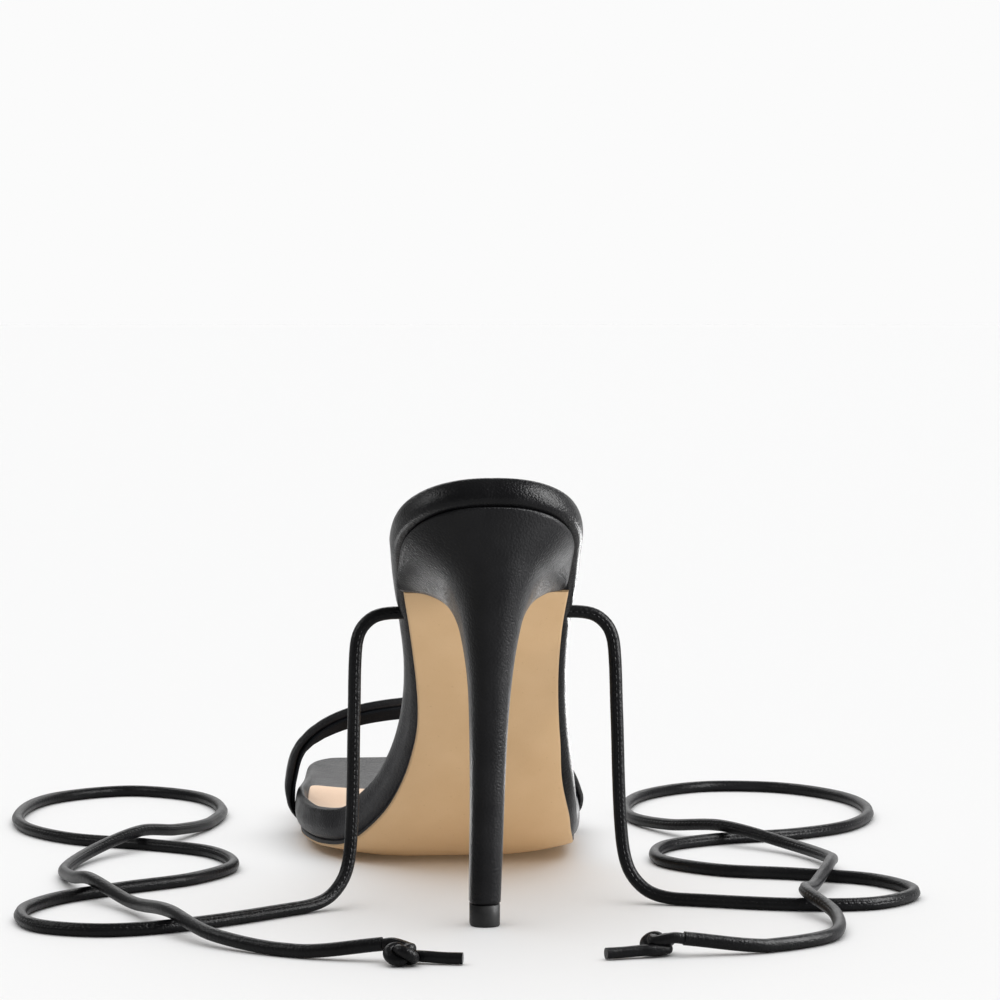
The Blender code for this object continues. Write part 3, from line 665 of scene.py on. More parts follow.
@dataclass(frozen=True)
class Last:
    """Underside of the last, on which every layer of the bottom is laid, in millimetres."""

    back_x: float = 3.64
    back_y: float = -111.973
    step: float = 0.5
    tread_along: float = 193.0
    crown_flat: float = 0.3
    heel_centre: float = 28.0
    heel_half_width: float = 24.6
    heel_square: float = 2.3
    heel_first_angle: float = 3.0
    heel_rows: int = 26
    middle_step: float = 2.4
    toe_end: float = 262.0
    toe_corner: float = 11.0
    toe_rows: int = 14
    toe_skew: float = 0.085
    toe_bulge: float = 2.2
    toe_shaped_from: float = 216.0
    slopes: ClassVar[Table] = Table((
        Mark(0.0, 31.0), Mark(46.0, 32.5), Mark(66.0, 45.0), Mark(84.0, 51.5), Mark(128.0, 51.5),
        Mark(148.0, 39.0), Mark(169.0, 6.0), Mark(177.0, 0.0), Mark(208.0, 0.0), Mark(237.0, -9.0),
        Mark(275.0, -14.0),
    ))
    crowns: ClassVar[Table] = Table((
        Mark(50.0, 0.0), Mark(124.0, 2.2), Mark(170.0, 3.6), Mark(214.0, 3.4), Mark(246.0, 0.8),
    ))
    tucks: ClassVar[Table] = Table((Mark(76.0, 0.0), Mark(110.0, 1.5), Mark(132.0, 2.0), Mark(176.0, 0.0)))
    edges: ClassVar[Table] = Table((
        Edge(28.0, -24.6, 24.6), Edge(48.0, -22.8, 25.3), Edge(66.0, -20.4, 25.1), Edge(84.0, -18.3, 25.5),
        Edge(102.0, -18.2, 26.9), Edge(118.0, -20.3, 28.9), Edge(132.0, -24.5, 31.0),
        Edge(146.0, -30.0, 32.6), Edge(160.0, -36.0, 33.9), Edge(174.0, -41.2, 35.6),
        Edge(190.0, -44.3, 37.3), Edge(206.0, -44.6, 37.7), Edge(222.0, -43.5, 35.6),
        Edge(242.0, -41.0, 30.4), Edge(262.0, -38.6, 25.0),
    ))

    @cached_property
    def line(self) -> list[Place]:
        """Side view of the tread.

        Returns:
            Forward, up and slope at every step along it.
        """
        spots = []
        y = z = 0.0
        for i in range(int(self.slopes.end / self.step) + 1):
            middle = math.radians(self.slopes.eased((i + 0.5) * self.step))
            spots.append((y, z, math.radians(self.slopes.eased(i * self.step))))
            y += self.step * math.cos(middle)
            z -= self.step * math.sin(middle)
        floor = spots[int(self.tread_along / self.step)][1]
        return [(y, z - floor, slope) for y, z, slope in spots]

    def edge(self, along: float, side: Side) -> float:
        """Edge of the footbed laid flat."""
        return self.edges.curved(along, 1 if side is Side.MEDIAL else 2)

    def both(self, along: float) -> Range:
        """Medial and lateral edge of the footbed laid flat."""
        return self.edge(along, Side.MEDIAL), self.edge(along, Side.LATERAL)

    def crown(self, along: float, across: float) -> float:
        """Finds the lift of the bottom near its edges.

        Args:
            along: distance along the sole.
            across: distance to the outer side of its middle line.

        Returns:
            The lift in millimetres.
        """
        medial, lateral = self.both(along)
        share = abs(2.0 * across - medial - lateral) / (lateral - medial)
        outer = max(0.0, share - self.crown_flat) / (1.0 - self.crown_flat)
        return self.crowns.eased(along) * outer ** 2

    def point(self, along: float, across: float, height: float) -> Vector:
        """Finds a point of the bottom.

        Args:
            along: distance along the sole.
            across: distance to the outer side of its middle line.
            height: height square above the tread.

        Returns:
            The point in metres.
        """
        height += self.crown(along, across)
        at = max(along / self.step, 0.0)
        low = min(int(at), len(self.line) - 2)
        y, z, slope = (a + (b - a) * (at - low) for a, b in zip(self.line[low], self.line[low + 1]))
        y += height * math.sin(slope)
        z += height * math.cos(slope)
        return Vector((self.back_x + across, self.back_y + y, z)) * MM

    def inside(self, along: float, across: float) -> float:
        """Finds how far a spot lies inside the footbed's edge.

        Args:
            along: distance along the sole.
            across: distance to the outer side of its middle line.

        Returns:
            The distance in millimetres.
        """
        if along < self.heel_centre:
            power = self.heel_square
            back = abs(1.0 - along / self.heel_centre) ** power
            out = (back + (abs(across) / self.heel_half_width) ** power) ** (1.0 / power)
            return (1.0 / out - 1.0) * math.hypot(across, self.heel_centre - along)
        medial, lateral = self.both(along)
        side = min(across - medial, lateral - across)
        front = self.toe_end - along
        if side < self.toe_corner and front < self.toe_corner:
            return self.toe_corner - math.hypot(self.toe_corner - side, self.toe_corner - front)
        return min(side, front)

    def heel_outline(self, inset: float) -> list[Edge]:
        """Lays rows round the back of the heel.

        Args:
            inset: distance inside the footbed's edge.

        Returns:
            The rows, without the last one.
        """
        first, power = self.heel_first_angle, 2.0 / self.heel_square
        rows = []
        for i in range(self.heel_rows):
            turn = math.radians(first + (90.0 - first) * i / self.heel_rows)
            half = (self.heel_half_width - inset) * math.sin(turn) ** power
            back = (self.heel_centre - inset) * math.cos(turn) ** power
            rows.append(Edge(self.heel_centre - back, -half, half))
        return rows

    def middle_outline(self, start: float, end: float, inset: float, tuck: float) -> list[Edge]:
        """Lays rows over the waist and ball.

        Args:
            start: where they start along the sole.
            end: where they end.
            inset: distance inside the footbed's edge.
            tuck: share of the tuck under the medial waist.

        Returns:
            The rows, both ends included.
        """
        count = max(1, round((end - start) / self.middle_step))
        rows = []
        for i in range(count + 1):
            along = start + (end - start) * i / count
            medial, lateral = self.both(along)
            rows.append(Edge(along, medial + inset + tuck * self.tucks.eased(along), lateral - inset))
        return rows

    def toe_outline(self, end: float, corner: float, inset: float) -> list[Edge]:
        """Lays rows over the rounded corners up to the straight front edge.

        Args:
            end: where the edge ends along the sole.
            corner: radius of the edge's corners.
            inset: distance inside that edge.

        Returns:
            The rows, without the first one.
        """
        radius = corner - inset
        rows = []
        for i in range(1, self.toe_rows + 1):
            turn = math.radians(90.0 * i / self.toe_rows)
            along = end - corner + radius * math.sin(turn)
            pull = inset + radius * (1.0 - math.cos(turn))
            medial, lateral = self.both(along)
            rows.append(Edge(along, medial + pull, lateral - pull))
        return rows

    def shaped(self, row: Edge, share: float, height: float) -> Vector:
        """Finds a point of a row of the outline, with the toe's slant and bulge.

        Args:
            row: the row.
            share: share of the way from the medial to the lateral edge.
            height: height above the tread.

        Returns:
            The point in metres.
        """
        across = row.medial + (row.lateral - row.medial) * share
        toe = ease((row.along - self.toe_shaped_from) / (self.toe_end - self.toe_shaped_from))
        bulge = self.toe_bulge * (1.0 - (2.0 * share - 1.0) ** 2)
        return self.point(row.along + toe * (bulge - self.toe_skew * across), across, height)


@dataclass
class Layer:
    """One layer of the bottom: a block of quads laid on the last. With no start it rounds the heel."""

    last: Last
    start: float = 0.0
    end: float = 262.0
    corner: float = 11.0
    columns: int = 30
    dish: float = 1.3
    dish_from: float = 3.5
    dish_full: float = 20.0
    sunk_to: float = 202.0
    sunk_fade: float = 25.0

    def wall(self) -> list[Wall]:
        """Steps of the layer's edge from its underside to its top."""
        raise NotImplementedError

    def outline(self, inset: float, tuck: float) -> list[Edge]:
        """Lays the rows of the layer.

        Args:
            inset: distance inside its edge.
            tuck: share of the tuck under the medial waist.

        Returns:
            The rows from heel to toe.
        """
        heel = [] if self.start else self.last.heel_outline(inset)
        start = self.start or self.last.heel_centre
        middle = self.last.middle_outline(start, self.end - self.corner, inset, tuck)
        return heel + middle + self.last.toe_outline(self.end, self.corner, inset)

    def lift(self, row: Edge, share: float, level: int, top: int) -> float:
        """Height that a point gains over its wall's step."""
        return 0.0

    def hollow(self, along: float, share: float) -> float:
        """Hollow of the footbed across the foot, deepest in the middle and gone at heel and toe."""
        back = ease((along - self.dish_from) / (self.dish_full - self.dish_from))
        return self.dish * (1.0 - (2.0 * share - 1.0) ** 2) * back * self.sunk(along)

    def sunk(self, along: float) -> float:
        """Share of the sock's seat that is left at a distance along the sole."""
        return 1.0 - ease((along - self.sunk_to) / self.sunk_fade)

    def spot(self, row: Edge, share: float, level: int, steps: list[Wall]) -> Vector:
        """Point of the layer on a row and a step of its wall, in metres."""
        height = steps[level].height + self.lift(row, share, level, len(steps) - 1)
        return self.last.shaped(row, share, height)

    def mesh(self) -> Mesh:
        """Builds the layer's mesh.

        Returns:
            The closed mesh.
        """
        steps = self.wall()
        outlines = [self.outline(step.inset, step.tuck) for step in steps]
        shares = [(1.0 - math.cos(math.pi * j / self.columns)) / 2.0 for j in range(self.columns + 1)]
        return block(len(outlines[0]) - 1, self.columns, len(steps) - 1,
                     lambda i, j, k: self.spot(outlines[k][i], shares[j], k, steps))


@dataclass
class Footbed(Layer):
    """Padded footbed wrapped in leather, with a rolled rim round its sock."""

    wall_levels: int = 18
    slot_along: float = 62.0
    slot_height: float = 4.0
    slot_pull: float = 0.7
    slot_reach: float = 2.6
    roll_reach: float = 0.35
    roll_from: float = 2.4
    roll_fade: float = 1.6
    profile: ClassVar[tuple[Wall, ...]] = (
        Wall(2.6, 2.0, 0.9), Wall(1.1, 2.4, 0.6), Wall(0.3, 3.6, 0.25), Wall(0.0, 5.4), Wall(0.15, 7.3),
        Wall(0.75, 8.8), Wall(2.1, 9.5),
    )
    rim: ClassVar[Table] = Table((
        Mark(2.1, 0.0), Mark(2.5, 0.0), Mark(3.8, -2.5), Mark(5.4, -2.2), Mark(14.0, -2.0),
    ))
    rolls: ClassVar[Table] = Table((
        Edge(118.0, 0.0, 0.0), Edge(152.0, 1.0, 0.2), Edge(170.0, 1.4, 0.8), Edge(206.0, 2.3, 1.6),
        Edge(226.0, 1.4, 1.0), Edge(250.0, 0.0, 0.0),
    ))

    def wall(self) -> list[Wall]:
        """Steps of the rounded rim."""
        return [Wall(*spot) for spot in Table.by_length(self.profile).walk(self.wall_levels)]

    def lift(self, row: Edge, share: float, level: int, top: int) -> float:
        """Adds fuller rolls beside the ball, the hollow of the top and the seat that the sock lies in.

        Args:
            row: row of the outline.
            share: share of the way from the medial to the lateral edge.
            level: step of the wall.
            top: the wall's last step.

        Returns:
            The gain in height in millimetres.
        """
        roll = self.rolls.eased(row.along, 1) * ease(1.0 - share / self.roll_reach)
        roll += self.rolls.eased(row.along, 2) * ease(1.0 - (1.0 - share) / self.roll_reach)
        if level < top:
            return roll * ease(2.0 * level / top - 1.0)
        inside = self.last.inside(row.along, row.medial + (row.lateral - row.medial) * share)
        seat = self.rim.eased(inside) * self.sunk(row.along) - self.hollow(row.along, share)
        return seat + roll * (1.0 - ease((inside - self.roll_from) / self.roll_fade))

    def build(self, leather: Material) -> Piece:
        """Builds the footbed and draws its rim in where the ties come out.

        Args:
            leather: its material.

        Returns:
            The piece.
        """
        mesh = self.mesh()
        for side in Side:
            edge = self.last.edge(self.slot_along, side)
            slot = self.last.point(self.slot_along, edge, self.slot_height)
            for vert in mesh.verts:
                pull = self.slot_pull * bell((vert.co - slot).length / MM, self.slot_reach)
                vert.co.x -= side.value * pull * MM
        return dressed(FOOTBED, mesh, [leather], "footbed")


@dataclass
class Sock(Layer):
    """Nude sock on the footbed, which stops short of the toe."""

    end: float = 231.6
    corner: float = 7.1
    inset: float = 3.6
    low: float = 7.6
    bedded: float = 0.3
    rise: float = 2.0
    thick: float = 0.6
    edge_round: float = 0.45
    edge_levels: int = 4

    def wall(self) -> list[Wall]:
        """Rounds the top of the sock's edge.

        Returns:
            The steps of its edge.
        """
        steps = [Wall(self.inset, self.low - self.bedded)]
        for i in range(self.edge_levels + 1):
            turn = math.radians(90.0 * i / self.edge_levels)
            pull = self.edge_round * (1.0 - math.cos(turn))
            up = self.low + self.thick - self.edge_round * (1.0 - math.sin(turn))
            steps.append(Wall(self.inset + pull, up))
        return steps

    def lift(self, row: Edge, share: float, level: int, top: int) -> float:
        """Rise and hollow of the footbed, which the sock follows."""
        return self.rise * (1.0 - self.sunk(row.along)) - self.hollow(row.along, share)

    def build(self, leather: Material) -> Piece:
        """Builds the sock."""
        return dressed(SOCK, self.mesh(), [leather], "insole_sock")


@dataclass
class Outsole(Layer):
    """Tan outsole with a dyed edge, from the heel breast to the toe."""

    start: float = 46.3
    thick: float = 1.8
    inset: float = 2.7
    bevel: float = 0.6
    bevel_steps: int = 5
    shoulder: float = 0.25
    bedded: float = 0.1
    sharp: float = 35.0
    flares: ClassVar[Table] = Table((
        Edge(108.0, 0.0, 0.0), Edge(126.0, 0.0, -0.7), Edge(146.0, 0.0, 0.5), Edge(158.0, 0.2, 1.1),
        Edge(188.0, 1.1, 1.1), Edge(226.0, 1.1, 1.1), Edge(248.0, 0.4, 0.4),
    ))

    def wall(self) -> list[Wall]:
        """Bevels the sole's edge, then goes square up.

        Returns:
            The steps of its edge.
        """
        steps = []
        for i in range(self.bevel_steps + 1):
            turn = math.radians(90.0 * i / self.bevel_steps)
            steps.append(Wall(self.inset + self.bevel * (1.0 - math.sin(turn)),
                              self.bevel * (1.0 - math.cos(turn)), 1.0))
        steps.append(Wall(self.inset, self.thick - self.shoulder, 1.0))
        steps.append(Wall(self.inset + self.shoulder, self.thick + self.bedded, 1.0))
        return steps

    def outline(self, inset: float, tuck: float) -> list[Edge]:
        """Lays the rows of the outsole, which flares out under the ball.

        Args:
            inset: distance inside the footbed's edge.
            tuck: share of the tuck under the medial waist.

        Returns:
            The rows from the heel breast to the toe.
        """
        rows = []
        for along, medial, lateral in super().outline(inset, tuck):
            rows.append(Edge(along, medial - self.flares.eased(along, 1),
                             lateral + self.flares.eased(along, 2)))
        return rows

    def build(self, leather: Material, dye: Material) -> Piece:
        """Builds the outsole with its underside in leather and its wall in edge dye.

        Args:
            leather: material of the underside.
            dye: material of the edge.

        Returns:
            The piece.
        """
        mesh = self.mesh()
        level = mesh.verts.layers.float["level"]
        for face in mesh.faces:
            face.material_index = int(max(vert[level] for vert in face.verts) > self.bevel_steps + 0.5)
        return dressed(SOLE, mesh, [leather, dye], "outsole", self.sharp)


@dataclass
class Heel:
    """Leather covered stiletto heel and its wearing tip."""

    last: Last
    seam: float = 5.6
    square: float = 2.3
    seat_corner: float = 18.0
    breast_edge: float = 0.62
    side_points: int = 40
    breast_points: int = 12
    levels: int = 110
    seat_inset: float = 2.6
    seat_along: float = 46.0
    seat_height: float = 1.8
    breast_drop: float = 1.1
    drop_from: float = 0.94
    tip_bevel: float = 0.4
    tip_inset: float = 0.18
    cover_roll: float = 0.36
    lip_out: float = 0.4
    lip_high: float = 1.6
    lip_turn: float = 100.0
    lip_steps: int = 7
    cap_inset: float = 2.5
    sections: ClassVar[tuple[HeelSection, ...]] = (
        HeelSection(12.9, 5.9, 21.5, 5.9, 4.0, -1.1),
        HeelSection(12.5, 18.0, 21.5, 18.0, 4.15, -0.8),
        HeelSection(12.0, 34.0, 21.8, 33.5, 4.35, -0.45),
        HeelSection(11.2, 49.5, 22.5, 48.0, 4.75, -0.15),
        HeelSection(10.2, 63.0, 23.7, 59.7, 5.45, 0.2),
        HeelSection(8.9, 75.0, 25.8, 68.6, 6.8, 0.45),
        HeelSection(7.3, 85.5, 28.9, 75.3, 8.8, 0.7, widest=0.52),
        HeelSection(5.8, 94.0, 32.7, 79.5, 12.0, 0.9, widest=0.54, corner=6.0),
        HeelSection(4.6, 100.0, 36.6, 82.0, 16.9, 0.7, widest=0.55, corner=9.0),
    )
    # Steps of the tip: share of its height, then height and inset in bevels.
    tip_steps: ClassVar[tuple[Place, ...]] = (
        (0.0, 0.0, 1.0), (0.0, 0.3, 0.3), (0.0, 1.0, 0.0), (0.5, 0.0, 0.0), (1.0, -0.4, 0.0), (1.0, 0.0, 0.5),
    )

    @property
    def sides(self) -> int:
        """Quads round a section."""
        return 2 * self.side_points + self.breast_points

    def shape(self, number: int, widest: float, corner: float) -> Range:
        """Finds a corner of a heel section.

        Args:
            number: the corner's number, from the back round the medial side.
            widest: share of the depth at which the section is widest.
            corner: how square the section is at its breast.

        Returns:
            Share of the way from back to breast, and signed share of the half width.
        """
        past = number - self.side_points
        if 0 <= past <= self.breast_points:
            return 1.0, self.breast_edge * (2.0 * past / self.breast_points - 1.0)
        sign = -1.0 if past < 0 else 1.0
        share = (number if past < 0 else self.sides - number) / self.side_points
        if share <= 0.5:
            turn, power = math.pi * share, 2.0 / self.square
            return widest * (1.0 - math.cos(turn) ** power), sign * math.sin(turn) ** power
        turn = (2.0 * share - 1.0) * math.atan2(1.0, self.breast_edge)
        deep, side = math.sin(turn), math.cos(turn)
        size = (deep ** corner + side ** corner) ** (1.0 / corner)
        return widest + (1.0 - widest) * deep / size, sign * side / size

    def section_ring(self, section: HeelSection, inset: float = 0.0) -> list[Vector]:
        """Finds the corners of one flat section.

        Args:
            section: the section.
            inset: how far its corners are drawn in.

        Returns:
            The corners in metres.
        """
        low = Vector((self.last.back_x + section.centre_x, self.last.back_y + section.back_y, section.back_z))
        run = Vector((0.0, section.breast_y - section.back_y, section.breast_z - section.back_z))
        low += run.normalized() * inset
        run -= run.normalized() * 2.0 * inset
        half = Vector((section.half_width - inset, 0.0, 0.0))
        shapes = [self.shape(i, section.widest, section.corner) for i in range(self.sides)]
        return [(low + run * share + half * side) * MM for share, side in shapes]

    def seat_ring(self, inset: float, height: float) -> list[Vector]:
        """Finds the corners of the heel's seat, which comes down over the sole's end at the breast.

        Args:
            inset: distance inside the footbed's edge.
            height: height above the tread.

        Returns:
            The corners in metres.
        """
        length = self.seat_along - inset
        half = self.last.heel_half_width - inset
        widest = (self.last.heel_centre - inset) / length
        ring = []
        for i in range(self.sides):
            share, side = self.shape(i, widest, self.seat_corner)
            drop = self.breast_drop * ease((share - self.drop_from) / (1.0 - self.drop_from))
            ring.append(self.last.point(inset + length * share, half * side, height - drop))
        return ring

    def lip_ring(self, step: int) -> list[Vector]:
        """Finds the corners of a step of the cover's rolled top edge.

        Args:
            step: number of the step.

        Returns:
            The corners in metres.
        """
        turn = math.radians(self.lip_turn * step / self.lip_steps)
        inwards = 1.0 - self.lip_out - math.cos(turn)
        up = self.lip_high * (math.sin(turn) - 1.0)
        return self.seat_ring(self.seat_inset + self.cover_roll * inwards,
                              self.seat_height + self.cover_roll * up)

    def cover(self, leather: Material) -> Piece:
        """Builds the covered heel, rolled in at its top and bottom edges.

        Args:
            leather: its material.

        Returns:
            The piece.
        """
        keys = [self.section_ring(section) for section in self.sections] + [self.lip_ring(0)]
        spans = [0.0]
        for low, high in zip(keys, keys[1:]):
            spans.append(spans[-1] + sum((b - a).length for a, b in zip(low, high)) / self.sides)
        tables = [Table([(span, *ring[i]) for span, ring in zip(spans, keys)]) for i in range(self.sides)]
        rings = [self.section_ring(self.sections[0], self.cover_roll * (1.0 - self.lip_out))]
        for k in range(self.levels + 1):
            at = max(spans[-1] * k / self.levels, self.cover_roll * MM)
            rings.append([table.point(at) for table in tables])
        rings += [self.lip_ring(i) for i in range(1, self.lip_steps + 1)]
        rings.append(self.seat_ring(self.seat_inset + self.cover_roll * self.cap_inset, self.seat_height))
        return dressed(HEEL, sleeve(rings), [leather], "heel")

    def tip(self, rubber: Material) -> Piece:
        """Builds the wearing tip with soft edges.

        Args:
            rubber: its material.

        Returns:
            The piece.
        """
        rings = []
        for share, bevels, drawn_in in self.tip_steps:
            up = self.seam * share + self.tip_bevel * bevels
            level = self.sections[0]._replace(back_z=up, breast_z=up)
            rings.append(self.section_ring(level, self.tip_bevel * drawn_in + self.tip_inset))
        return dressed(TIP, sleeve(rings), [rubber], "top_piece")


@dataclass
class ToeStrap:
    """Padded strap over the toes, the sandal's upper: a full outer band and its lining."""

    last: Last
    width: float = 10.0
    top_thick: float = 4.2
    top_up: float = 38.2
    band_square: float = 3.4
    lean: float = 25.0
    lean_from: float = 20.0
    backward: float = 7.0
    backward_from: float = 9.0
    key_angles: int = 9
    stations: int = 190
    sides: int = 48
    medial: ClassVar[StrapEnd] = StrapEnd(
        Side.MEDIAL, along=214.0, x=-45.7, widest=16.0, square=2.38, thick=3.3,
        foot=(StrapFoot(-0.6, 2.4, 1.2), StrapFoot(0.55, 4.0, 1.5), StrapFoot(1.35, 6.2, 2.1)),
    )
    lateral: ClassVar[StrapEnd] = StrapEnd(
        Side.LATERAL, along=213.0, x=38.9, widest=11.2, square=1.6, thick=2.6,
        foot=(StrapFoot(-0.3, 2.0, 1.3), StrapFoot(1.1, 3.3, 1.7), StrapFoot(1.85, 4.9, 2.2)),
    )
    creases: ClassVar[tuple[Crease, ...]] = (
        Crease(0.17, 0.09, 0.008), Crease(0.2, 0.13, 0.01), Crease(0.235, 0.08, 0.008),
        Crease(0.76, 0.1, 0.01), Crease(0.8, 0.08, 0.008),
    )

    @cached_property
    def line(self) -> Table:
        """Middle line from the medial to the lateral end.

        Returns:
            X, Z and thickness by the distance along it.
        """
        middle, half = (self.medial.x + self.lateral.x) / 2.0, (self.lateral.x - self.medial.x) / 2.0
        keys = self.foot_keys(self.medial)
        for i in range(self.key_angles):
            angle = math.pi * i / (self.key_angles - 1)
            turn = math.cos(angle)
            end = self.medial if turn > 0.0 else self.lateral
            lift = max(math.sin(angle), 0.0) ** (2.0 / end.square)
            keys.append((middle - half * squared(turn, 2.0 / end.square),
                         end.widest + (self.top_up - end.widest) * lift,
                         end.thick + (self.top_thick - end.thick) * lift))
        return Table.by_length(keys + self.foot_keys(self.lateral)[::-1])

    def foot_keys(self, end: StrapEnd) -> list[Place]:
        """Finds the points of a foot on the footbed's edge.

        Args:
            end: the strap's end.

        Returns:
            X, Z and thickness of each point, from the lowest up.
        """
        edge = self.last.edge(end.along, end.side)
        low = self.last.point(end.along, edge, 0.0).z / MM
        return [(edge + end.side.value * foot.outwards, low + foot.up, foot.thickness) for foot in end.foot]

    def forward(self, x: float, z: float) -> float:
        """Finds the middle line's place towards the toe: it slants back to its outer foot and its top.

        Args:
            x: across the foot.
            z: above the floor.

        Returns:
            The place in millimetres.
        """
        medial, lateral = (self.last.point(end.along, 0.0, 0.0).y / MM for end in (self.medial, self.lateral))
        share = min(1.0, max(0.0, (x - self.medial.x) / (self.lateral.x - self.medial.x)))
        back = self.backward * ease((z - self.backward_from) / (self.top_up - self.backward_from))
        return medial + (lateral - medial) * share - back

    def leaning(self, x: float, z: float) -> float:
        """Finds how far the strap's front edge turns in, from the footbed's edge to the top.

        Args:
            x: across the foot.
            z: above the floor.

        Returns:
            The angle in radians.
        """
        end = self.lateral if x >= 0.0 else self.medial
        front, rear = (self.last.edge(end.along + off, end.side) for off in (self.width, -self.width))
        foot = math.degrees(math.atan2(abs(front - rear), 2.0 * self.width))
        share = ease((z - self.lean_from) / (self.top_up - self.lean_from))
        return math.radians(foot + (self.lean - foot) * share)

    def frame_at(self, share: float) -> tuple[Vector, Vector, Vector, float]:
        """Finds the strap's place and directions.

        Args:
            share: share of the way along it.

        Returns:
            Its middle, the directions of its width and thickness, and its thickness in millimetres.
        """
        at = self.line.end * share
        x, z, thick = self.line.point(at)
        reach = self.line.end / self.stations
        ahead, behind = self.line.point(at + reach), self.line.point(at - reach)
        run = Vector((ahead.x - behind.x, 0.0, ahead.y - behind.y)).normalized()
        outwards = Vector((-run.z, 0.0, run.x))
        lean = self.leaning(x, z)
        width = -BACK * math.cos(lean) - outwards * math.sin(lean)
        through = outwards * math.cos(lean) - BACK * math.sin(lean)
        return Vector((self.last.back_x + x, self.forward(x, z), z)), width, through, thick

    def ring(self, share: float, band: StrapBand) -> list[Vector]:
        """Finds the corners of a band's section.

        Args:
            share: share of the way along the strap.
            band: the band.

        Returns:
            The corners in metres.
        """
        middle, width, through, thick = self.frame_at(share)
        low, high = band.inner * thick / 2.0, band.outer * thick / 2.0
        dent = sum(crease.depth * bell(share - crease.share, crease.reach) for crease in self.creases)
        bulge = (high - low) / 2.0 * band.fullness - dent
        corners = []
        for i in range(self.sides):
            turn = 2.0 * math.pi * i / self.sides
            across = squared(math.cos(turn), 2.0 / self.band_square) * band.width / 2.0
            rise = (low + high) / 2.0 + squared(math.sin(turn), 2.0 / self.band_square) * bulge
            corners.append((middle + width * across + through * rise) * MM)
        return corners

    def band(self, band: StrapBand, leather: Material, node: str = "") -> Piece:
        """Builds one band of the strap."""
        rings = [self.ring(i / self.stations, band) for i in range(self.stations + 1)]
        return dressed(band.name, sleeve(rings), [leather], node)


@dataclass
class Tie:
    """One round ankle tie, let down from its slot and laid on the floor, with its knot."""

    name: str
    route: tuple[Place, ...]
    exit: Place
    diameter: float = 3.4
    floor: float = 1.75
    spacing: float = 1.25
    sides: int = 24
    seam_at: float = 0.25
    seam_reach: float = 0.05
    seam_depth: float = 0.14
    knot_ring: float = 1.95
    knot_turn: float = 1.25
    knot_squeeze: float = 0.84
    knot_open: float = 0.3
    knot_samples: int = 26
    knot_spacing: float = 0.5
    knot_ahead: float = 5.6
    knot_sink: float = 1.6
    # Spots aside, ahead and up: before the knot, and from its middle to the cut end.
    lead: ClassVar[tuple[Place, ...]] = ((0.0, 0.05, 0.0), (0.1, 2.52, 0.3))
    cut_end: ClassVar[tuple[Place, ...]] = (
        (0.2, 2.4, -1.0), (0.1, 5.0, -1.0), (0.4, 9.5, -1.2), (0.9, 14.0, -1.2),
    )

    @cached_property
    def path(self) -> list[Vector]:
        """Middle line on a smooth curve through the route, kept off the floor.

        Returns:
            Points in metres.
        """
        curve = Table.by_length(self.route)
        spots = curve.walk(round(curve.end / (self.spacing * MM)))
        for spot in spots:
            spot.z = max(spot.z, self.floor * MM)
        return spots

    @property
    def length(self) -> float:
        """Length of the tie from inside its slot to its knot, in metres."""
        return sum((b - a).length for a, b in zip(self.path, self.path[1:]))

    def tube(self, path: Sequence[Vector], radius: float, facing: Vector) -> Mesh:
        """Runs a round section with a sunk seam along a path.

        Args:
            path: middle line in metres.
            radius: radius in millimetres.
            facing: direction in which the seam faces at the start.

        Returns:
            The tube.
        """
        corners = []
        for i in range(self.sides):
            off = i / self.sides - self.seam_at
            dip = 1.0 - self.seam_depth * bell(off, self.seam_reach)
            corners.append((2.0 * math.pi * off, radius * dip * MM))
        rings = []
        for i, spot in enumerate(path):
            run = (path[min(i + 1, len(path) - 1)] - path[max(i - 1, 0)]).normalized()
            facing = (facing - run * facing.dot(run)).normalized()
            across = run.cross(facing)
            rings.append([spot + (facing * math.cos(turn) + across * math.sin(turn)) * out
                          for turn, out in corners])
        return sleeve(rings)

    def knot_path(self) -> list[Vector]:
        """Lays the overhand knot and its cut end.

        Returns:
            Points of its middle line in metres.
        """
        end = self.path[-1]
        ahead = end - self.path[-3]
        ahead = Vector((ahead.x, ahead.y, 0.0)).normalized()
        aside = UP.cross(ahead)
        ring, turn = self.knot_ring, self.knot_turn
        spots = list(self.lead)
        for i in range(self.knot_samples + 1):
            s = self.knot_open + (2.0 * math.pi - 2.0 * self.knot_open) * i / self.knot_samples
            out = ring + turn * math.cos(3.0 * s)
            spots.append((out * math.cos(2.0 * s) - ring - turn,
                          out * math.sin(2.0 * s) + self.knot_ahead,
                          turn * math.sin(3.0 * s) - self.knot_sink))
        spots += [(a, b + self.knot_ahead, c - self.knot_sink) for a, b, c in self.cut_end]
        curve = Table.by_length(spots)
        walked = curve.walk(round(curve.end / self.knot_spacing))
        return [end + (aside * a + ahead * b + UP * c) * MM for a, b, c in walked]

    def build(self, cord: Material, knotted: Material) -> None:
        """Args:
            cord: material of the tie.
            knotted: material of the knot.
        """
        radius = self.diameter / 2.0
        knot = dressed("knot_cord_" + self.name, self.tube(self.knot_path(), radius * self.knot_squeeze, UP),
                       [knotted], "knot_" + self.name)
        tie = dressed("tie_cord_" + self.name, self.tube(self.path, radius, BACK),
                      [cord], "tie_" + self.name)
        self.length
        self.path


